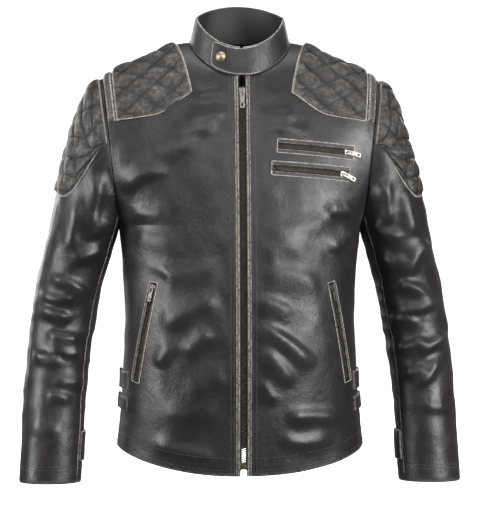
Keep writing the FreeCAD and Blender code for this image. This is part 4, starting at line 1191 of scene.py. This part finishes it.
def lip_profile(width):
    """How a zip's leather lip rises across its width: (aside from its inner edge, height)."""
    return [(.0004, -.0026), (-.0001, -.0014), (.0000, -.0001), (.0004, .0005), (.0011, .0009),
            (.0020, .0009),
            (width * .5, .0007), (width - .0016, .0008), (width - .0008, .0007), (width - .0002, .0003),
            (width, -.0002), (width - .0003, -.0009)]


def on_front(points, out):
    """Points moved onto the front of the body, out metres outside it."""
    flat = points - BASE
    angle, h = front_at(flat[..., 0], flat[..., 2])
    return shell(angle, h, out)


LIP_EDGE = .0048


def make_lips(name, track, width):
    """The two stitched lips beside a pocket's zip, a bar over each end and a pale rim along each."""
    half = track.half + .004
    along = np.linspace(-half, half, 90)
    profile = np.array(lip_profile(width))
    ends = np.sqrt(np.clip((half - np.abs(along)) / .0016, 0, 1))

    def line(start, aside, out):
        return on_front(track.point(along[start:-start], track.sink, aside), out)

    for sign, word in ((1, "lower"), (-1, "upper")):
        aside = sign * (LIP_EDGE + profile[:, 0])
        spot = track.point(along[None, :] + 0 * aside[:, None], track.sink,
                           aside[:, None] + 0 * along[None, :])
        points = on_front(spot, profile[:, 1][:, None] * ends[None, :] - .0006 * (1 - ends[None, :]))
        across = profile[:, 0] / width
        wear = np.clip(1 - np.abs(across - .95) / .12, 0, 1) + np.clip(1 - np.abs(across - .06) / .12, 0,
                                                                       1) * .8
        wear = np.maximum(wear[:, None], (np.abs(along) > half - .0022)[None, :] * .9) + 0 * points[..., 0]
        piece = grid(f"{name}_lip_{word}", points, np.tile(track.out, points.shape[:2] + (1,)), EDGE,
                     slot="worn_leather", wear=np.clip(wear, 0, 1) * .9)
        if sign > 0:
            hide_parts(f"{name}_lips")
        row = line(3, sign * (LIP_EDGE + width - .0022), .0006)
        stitches(f"{name}_lip_stitch_{word}", [(row, np.tile(track.out, (len(row), 1)))], THREAD, pitch=.0028)
    reach = LIP_EDGE + width * .9
    aside = np.linspace(-reach, reach, 18)
    for sign, word in ((1, "outer"), (-1, "inner")):
        place = sign * (half - .0012 - .0016 * (aside / reach) ** 6)
        tube(f"{name}_bar_{word}", on_front(track.point(place, track.sink, aside), .0004), .0005, PALE_EDGE,
             slot="worn_leather")
    for sign, word in ((1, "lower"), (-1, "upper")):
        tube(f"{name}_rim_{word}", line(2, sign * (LIP_EDGE + width - .0004), .0005), .00055, PALE_EDGE,
             slot="worn_leather")


def make_zips():
    main = TRACKS["main"]
    start, end = -main.half + .004, main.half - .012
    for sign, node in ((1, "main_teeth_right"), (-1, "main_teeth_left")):
        make_teeth(f"{node}_row", main, start, end, "main", sign, node)
    make_slider("main", main, start + .009, 0, "main")
    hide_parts("main_slider")
    box = plate_curve("retainer", [rounded_box(-.0046, .0046, -.0042, .0048, .0012)], .0046, .0006,
                      main.matrix(main.half - .007), BRASS, "jacket", "antique_brass")
    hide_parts("retainer_box")
    pockets = (("chest_upper", .0063, -10), ("chest_lower", .0063, -22), ("hand_left", .0042, 0),
               ("hand_right", .0042, 0))
    for name, lip, twist in pockets:
        track = TRACKS[name]
        for sign, word, node in ((1, "low", f"{name}_teeth"), (-1, "high", None)):
            make_teeth(f"{name}_row_{word}", track, -track.half, track.half, "pocket", sign, node)
        make_lips(name, track, lip)
        at = track.half - .007 if name.startswith("chest") else -track.half + .007
        make_slider(name, track, at, twist, "pocket")


def make_bindings():
    """The rolled double edge beside each row of teeth, and the stitching beyond it."""
    profile = np.array([(-.0010, -.0034), (-.0012, -.0016), (-.0008, .0004), (.0002, .0016), (.0014, .0021),
                        (.0024, .0017),
                        (.0030, .0010), (.0036, .0016), (.0046, .0019), (.0054, .0014), (.0060, .0003),
                        (.0060, -.0008)])
    h = np.linspace(HEM + .0008, NECK - .0015, 420)
    for side, word in SIDES:
        def line(reach, out, side=side):
            angle = edge_angle(ZIP_GAP + reach, h[None, :] if np.ndim(reach) else h)
            return shell(angle if side > 0 else math.pi - angle, h + 0 * angle, out)

        points = line(np.maximum(profile[:, 0], -.0014)[:, None], profile[:, 1][:, None] + 0 * h)
        across = profile[:, 0]
        crest = (np.clip(1 - np.abs(across - .0012) / .0013, 0, 1)
                 + np.clip(1 - np.abs(across - .0047) / .0011, 0, 1) * .85)
        patchy = .55 + .45 * noise(np.stack([0 * h, 0 * h, h], axis=-1), .03, 8)
        wear = np.clip(crest[:, None] * (.45 + .55 * patchy[None, :]), 0, 1) + 0 * points[..., 0]
        piece = grid(f"binding_{word}", points, np.tile((0., -1, 0), points.shape[:2] + (1,)), EDGE,
                     slot="worn_leather", wear=wear)
        if side > 0:
            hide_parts("front_bindings")
        for reach, label in ((.0078, "near"), (.0132, "far")):
            row = line(reach, .0001)
            stitches(f"front_stitch_{label}_{word}", [(row, np.tile((0., -1, 0), (len(row), 1)))], THREAD)


# ---------------------------------------------------------------- collar, tabs, snaps, straps

def make_collar():
    first = float(edge_angle(.0025, np.array(NECK - .00001)))
    columns = 200
    angles = np.linspace(first, -(math.pi + first), columns)
    rows = [(.02, -.0004), (.03, 0), (.06, .0003)] + [(k, .0003) for k in np.linspace(.1, .9, 18)]
    rows += [(.95, .0002), (.985, -.0002), (1.0, -.0010), (.995, -.0020), (.97, -.0026), (.93, -.0027)]
    k, out = np.array(rows).T
    angle, level = np.meshgrid(angles, k, indexing="ij")
    place = np.minimum(np.arange(columns), np.arange(columns)[::-1])
    ends = np.sqrt(1 - np.clip(1 - place / 1.6, 0, 1) ** 2)
    points = neck_band(angle, level, out[None, :] - .0012 * (1 - ends[:, None]))
    away = points - BASE
    wear = np.clip((level - .93) / .04, 0, 1) * .8 + np.clip((.05 - level) / .03, 0, 1) * .2
    piece = grid("collar_skin", points, away * (1, 1, 0), LEATHER_SKIN, slot="leather", wear=wear)
    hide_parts("collar_shell")
    edge = neck_band(angles, 0 * angles + .992, -.0008)
    tube("collar_edge", edge, .00050, PALE_EDGE, slot="worn_leather")
    seam = neck_band(angles, 0 * angles + .015, .0006)
    tube("collar_seam", seam, .0006, THREAD, slot="worn_leather")
    inner = neck_band(angle[:, :20], level[:, :20] * 0 + np.linspace(-.05, .975, 20)[None, :], -.0036)
    lining = grid("collar_inside", inner, -away[:, :20] * (1, 1, 0), LINING, slot="lining")
    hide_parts("collar_lining")


def collar_angle(x):
    angle = float(bisect(0.0, math.pi / 2, lambda angle: collar_point(angle, .5)[0] > abs(x), 40))
    return angle if x >= 0 else math.pi - angle


TAB_ROOT, TAB_END, SNAP_AT = .027, -.044, -.031


def tab_at(s, k, out):
    """The collar's tab: s runs from its root (0) to its rounded end (1), k up from -1 to 1."""
    start, end = collar_angle(TAB_ROOT), collar_angle(TAB_END)
    angle = start + (end - start) * s
    near_end = np.clip(1 - (1 - s) / .16, 0, 1)
    half = .45 * np.sqrt(1 - .55 * near_end ** 4)
    return neck_band(angle, .48 + half * k + .03 * np.clip(1 - s / .45, 0, 1) * k, out)


def from_axis(points):
    return (points - BASE) * (1, 1, 0)


def strap_ring(low, high, side, steps, tip):
    """(s, k) round a strap's free end: out along k = -side, across the tip and back along side."""
    ring = [(a, -side) for a in np.linspace(low, high, steps)] + [(tip[0], b) for b in np.linspace(*tip[1:])]
    return np.array(ring + [(a, side) for a in np.linspace(high, low, steps)]).T


def strap(name, place, count, thick, base, body, node=None, away=from_axis, edge_colour=PALE_EDGE):
    """A flat leather strap over the shell: place(s, k, out) gives its surface. Its rows go round
    its edge, from its back over its face and back."""
    s = np.concatenate([[0, .004, .012], np.linspace(.03, .97, count), [.988, .996, 1.0]])
    rows = [(-.985, -.0002), (-1.0, thick * .35), (-.985, thick * .8), (-.95, thick)]
    rows += [(k, thick * 1.06) for k in np.linspace(-.9, .9, 10)]
    rows += [(.95, thick), (.985, thick * .8), (1.0, thick * .35), (.985, -.0002)]
    k, out = np.array(rows).T
    low = np.minimum(s / .012, (1 - s) / .012)
    ends = np.sqrt(np.clip(1 - (1 - np.clip(low, 0, 1)) ** 2, 0, 1))
    u, v = np.meshgrid(s, k, indexing="ij")
    points = place(u, v, base + out[None, :] * np.maximum(ends[:, None], .02))
    wear = np.maximum(np.clip((np.abs(v) - .90) / .08, 0, 1), np.clip(1 - low / 1.5, 0, 1)[:, None]) * .9
    piece = grid(name, points, away(points), LEATHER_SKIN, body=body, slot="leather", wear=wear)
    if node:
        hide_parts(node)
    a, b = strap_ring(.012, .99, .965, 60, (.992, -.9, .9, 20))
    line = place(a, b, 0 * a + base + thick * .86)
    tube(f"{name}_edge", line, .00050, edge_colour, body=body, slot="worn_leather")


def lathe(name, profile, matrix, material, body, slot, count=40):
    turn = np.linspace(0, 2 * math.pi, count, endpoint=False)
    points = np.array([[(r * math.cos(t), r * math.sin(t), z) for t in turn] for r, z in profile])
    flat = [matrix @ Vector(p) for p in points.reshape(-1, 3)]
    faces = grid_faces(len(profile), count, True, closed=True).tolist()
    faces += [list(range(count))[::-1], [(len(profile) - 1) * count + k for k in range(count)]]
    return add(name, [tuple(p) for p in flat], faces, material, body=body, slot=slot)


def make_snap(name, place, tip, body, node):
    """A snap's domed cap, on the line from place towards tip."""
    profile = [(.0075, -.0002), (.0075, .0005), (.0071, .0009), (.0067, .0009), (.0065, .0007),
               (.0062, .0012),
               (.0054, .0021), (.0042, .0028), (.0028, .0032), (.0014, .0034), (.0003, .00345)]
    turn = Vector((0, 0, 1)).rotation_difference(Vector(unit(tip - place))).to_matrix().to_4x4()
    cap = lathe(name, profile, Matrix.Translation(Vector(place)) @ turn, SNAP_BRASS, body, "snap_brass")
    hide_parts(node)


def make_fastenings():
    strap("collar_tab_leather", tab_at, 60, .0022, .0008, "collar_tab", "collar_tab")
    s = (collar_angle(SNAP_AT) - collar_angle(TAB_ROOT)) / (collar_angle(TAB_END) - collar_angle(TAB_ROOT))
    s, k = np.array(s), np.array(.05)
    make_snap("collar_snap_cap", tab_at(s, k, np.array(.0030)), tab_at(s, k, np.array(.0060)), "collar_tab",
              "collar_snap")
    a, b = strap_ring(.03, .955, .86, 50, (.965, -.8, .8, 14))
    line = tab_at(a, b, 0 * a + .0031)
    stitches("collar_tab_stitch", [(line, tab_at(a, b, 0 * a + .005) - line)], THREAD, pitch=.0028,
             body="collar_tab")
    first, last = math.radians(152), math.radians(264)
    for side, word in SIDES:
        def cuff(u, v, out, side=side):
            end = np.clip(1 - (1 - u) / .12, 0, 1)
            half = .0275 * (1 - .45 * end ** 2)
            return arm(first + (last - first) * u, .9325 + half * v, out, side)

        tab = f"cuff_tab_{word}"
        axis = np.array([side * .287, 0, .04]) + BASE
        strap(f"cuff_strap_{word}", cuff, 50, .0022, .0006, tab, tab, lambda points,
              axis=axis: (points - axis) * (1, 1, 0))
        s, k = np.array(.86), np.array(0.)
        make_snap(f"cuff_cap_{word}", cuff(s, k, np.array(.0028)), cuff(s, k, np.array(.006)), tab,
                  f"cuff_snap_{word}")


def make_waist():
    """Two straps at each side of the waist, each with a keeper over the side seam."""
    parts = (("strap", -34, 56, 0, 46, .0030, .0004), ("keeper", -10, 8, .0016, 12, .0018, .0036))
    for side, word in SIDES:
        for z, tall, row in ((.141, .026, "upper"), (.107, .020, "lower")):
            for kind, first, sweep, wider, count, thick, base in parts:
                def band(u, v, out, z=z, half=tall / 2 + wider, first=first, sweep=sweep, side=side):
                    angle = math.radians(first) + math.radians(sweep) * u
                    return shell(angle if side > 0 else math.pi - angle, z + half * v, out)

                strap(f"waist_{kind}_{row}_{word}", band, count, thick, base, "jacket",
                      f"waist_{kind}s" if side > 0 else None, edge_colour=THREAD)


def make_seams():
    """Stitching beside the panels' seams: hem, sleeve seams and cuffs."""
    angles = np.linspace(float(edge_angle(ZIP_GAP + .008, np.array(HEM))), -(math.pi + 1.50), 420)
    for height, word in ((.0085, "low"), (.0250, "high")):
        row = shell(angles, 0 * angles + HEM + height, .0001)
        stitches(f"hem_stitch_{word}", [(row, body_normal(angles, 0 * angles + HEM + height))], THREAD)
    shares = np.linspace(.02, .985, 300)
    turns = np.linspace(0, 2 * math.pi, 160)
    for side, word in SIDES:
        def row(turn, share, side=side):
            turn, share = np.broadcast_arrays(turn, share)
            return arm(turn, share, .0001, side), sleeve_normal(turn, share) * (side, 1, 1)

        seams = [row(turn, shares) for turn in (FRONT_SEAM - .035, FRONT_SEAM + .035, BACK_SEAM + .035)]
        stitches(f"sleeve_stitch_{word}", seams, THREAD)
        for share, label in ((.968, "a"), (.974, "b")):
            stitches(f"cuff_stitch_{label}_{word}", [row(turns, share)], THREAD)
        line = arm(0 * shares + FRONT_SEAM, shares, -.0007, side)
        tube(f"sleeve_seam_{word}", line, .0006, PALE_EDGE, slot="worn_leather")
        stitches(f"outer_seam_stitch_{word}", [row(math.radians(30), shares[shares > .37])], THREAD)


make_zips()
make_bindings()
make_collar()
make_fastenings()
make_waist()
make_seams()


# ---------------------------------------------------------------- carried-over pieces

def dress(node, material):
    piece = bpy.data.objects[node]
    piece.data.materials.clear()
    piece.data.materials.append(material)


for node in ("front_linings", "back_lining", "pocket_bags", "hanger_loop"):
    dress(node, LINING)
dress("front_facings", LEATHER_SKIN)
for zip_name in TRACKS:
    dress(zip_name + "_tape", TAPE)


# ---------------------------------------------------------------- floor, light and camera

def make_stage():
    """A pale round floor that curves up into a backdrop all the way round."""
    low = CAD_BOX[0][2] - .035
    flat, bend, top = 4.2, .9, 4.5
    profile = [(.001, low), (2.0, low), (flat, low)]
    profile += [(flat + bend * math.sin(t), low + bend * (1 - math.cos(t)))
                for t in np.linspace(.1, math.pi / 2, 16)] + [(flat + bend, top)]
    turns = np.linspace(0, 2 * math.pi, 65)
    points = np.array([[(r * math.cos(t), r * math.sin(t), z) for r, z in profile] for t in turns])
    mesh = bpy.data.meshes.new("backdrop")
    mesh.from_pydata(points.reshape(-1, 3).tolist(), [], grid_faces(len(turns), len(profile), True).tolist())
    mesh.polygons.foreach_set("use_smooth", [True] * len(mesh.polygons))
    floor = into_scene("backdrop", mesh)
    paper = Nodes("pale_paper")
    mesh.materials.append(paper.finish(paper.ramp(paper.noise(3, 2, .5), (.3, (.90, .90, .90)),
                                                  (.7, (.93, .93, .93))), .9,
                                       **{"Emission Color": (1, 1, 1, 1), "Emission Strength": 1.0}))
    floor.visible_diffuse = floor.visible_glossy = False


# Each light: its place from the jacket's middle, its width and height, and its power in watts.
LIGHTS = {
    "key": ((1.75, -2.05, .55), (1.2, 1.7), 84),
    "side": ((-2.5, -1.0, .5), (.9, 1.7), 66),
    "front": ((-.3, -2.7, 1.7), (1.4, .8), 20),
    "top": ((0, -.2, 2.2), (1.6, 1.0), 20),
    "back": ((1.0, 2.6, 1.2), (1.4, 1.4), 30),
    "back_side": ((-1.7, 2.2, .7), (1.2, 1.6), 26),
}


def look_at(thing, target):
    thing.rotation_euler = (Vector(target) - thing.location).to_track_quat("-Z", "Y").to_euler()


def make_light():
    middle = Vector(BASE) + Vector((0, 0, .36))
    for name, (place, size, power) in LIGHTS.items():
        data = bpy.data.lights.new(name, "AREA")
        data.shape = "RECTANGLE"
        data.size, data.size_y = size
        data.energy = power
        lamp = into_scene(name, data)
        lamp.location = middle + Vector(place)
        look_at(lamp, middle)
    world = bpy.data.worlds.new("studio")
    bpy.context.scene.world = world
    world.use_nodes = True
    sky = world.node_tree.nodes["Background"].inputs
    sky["Color"].default_value = (1, 1, 1, 1)
    sky["Strength"].default_value = .11


def make_camera():
    """A long lens level with the middle of the jacket, turned 3 degrees to the wearer's right."""
    seen_height, distance, turn = .7635, 3.0, math.radians(-3)
    data = bpy.data.cameras.new("camera")
    data.sensor_width = 36
    data.lens = 36 * distance / seen_height
    camera = into_scene("camera", data)
    target = Vector(BASE) + Vector((.003, -.10, .331))
    camera.location = target + Vector((math.sin(turn), -math.cos(turn), 0)) * distance
    look_at(camera, target)
    bpy.context.scene.camera = camera


make_stage()
make_light()
make_camera()
bpy.context.scene.view_settings.view_transform = "Standard"
bpy.context.scene.view_settings.look = "None"
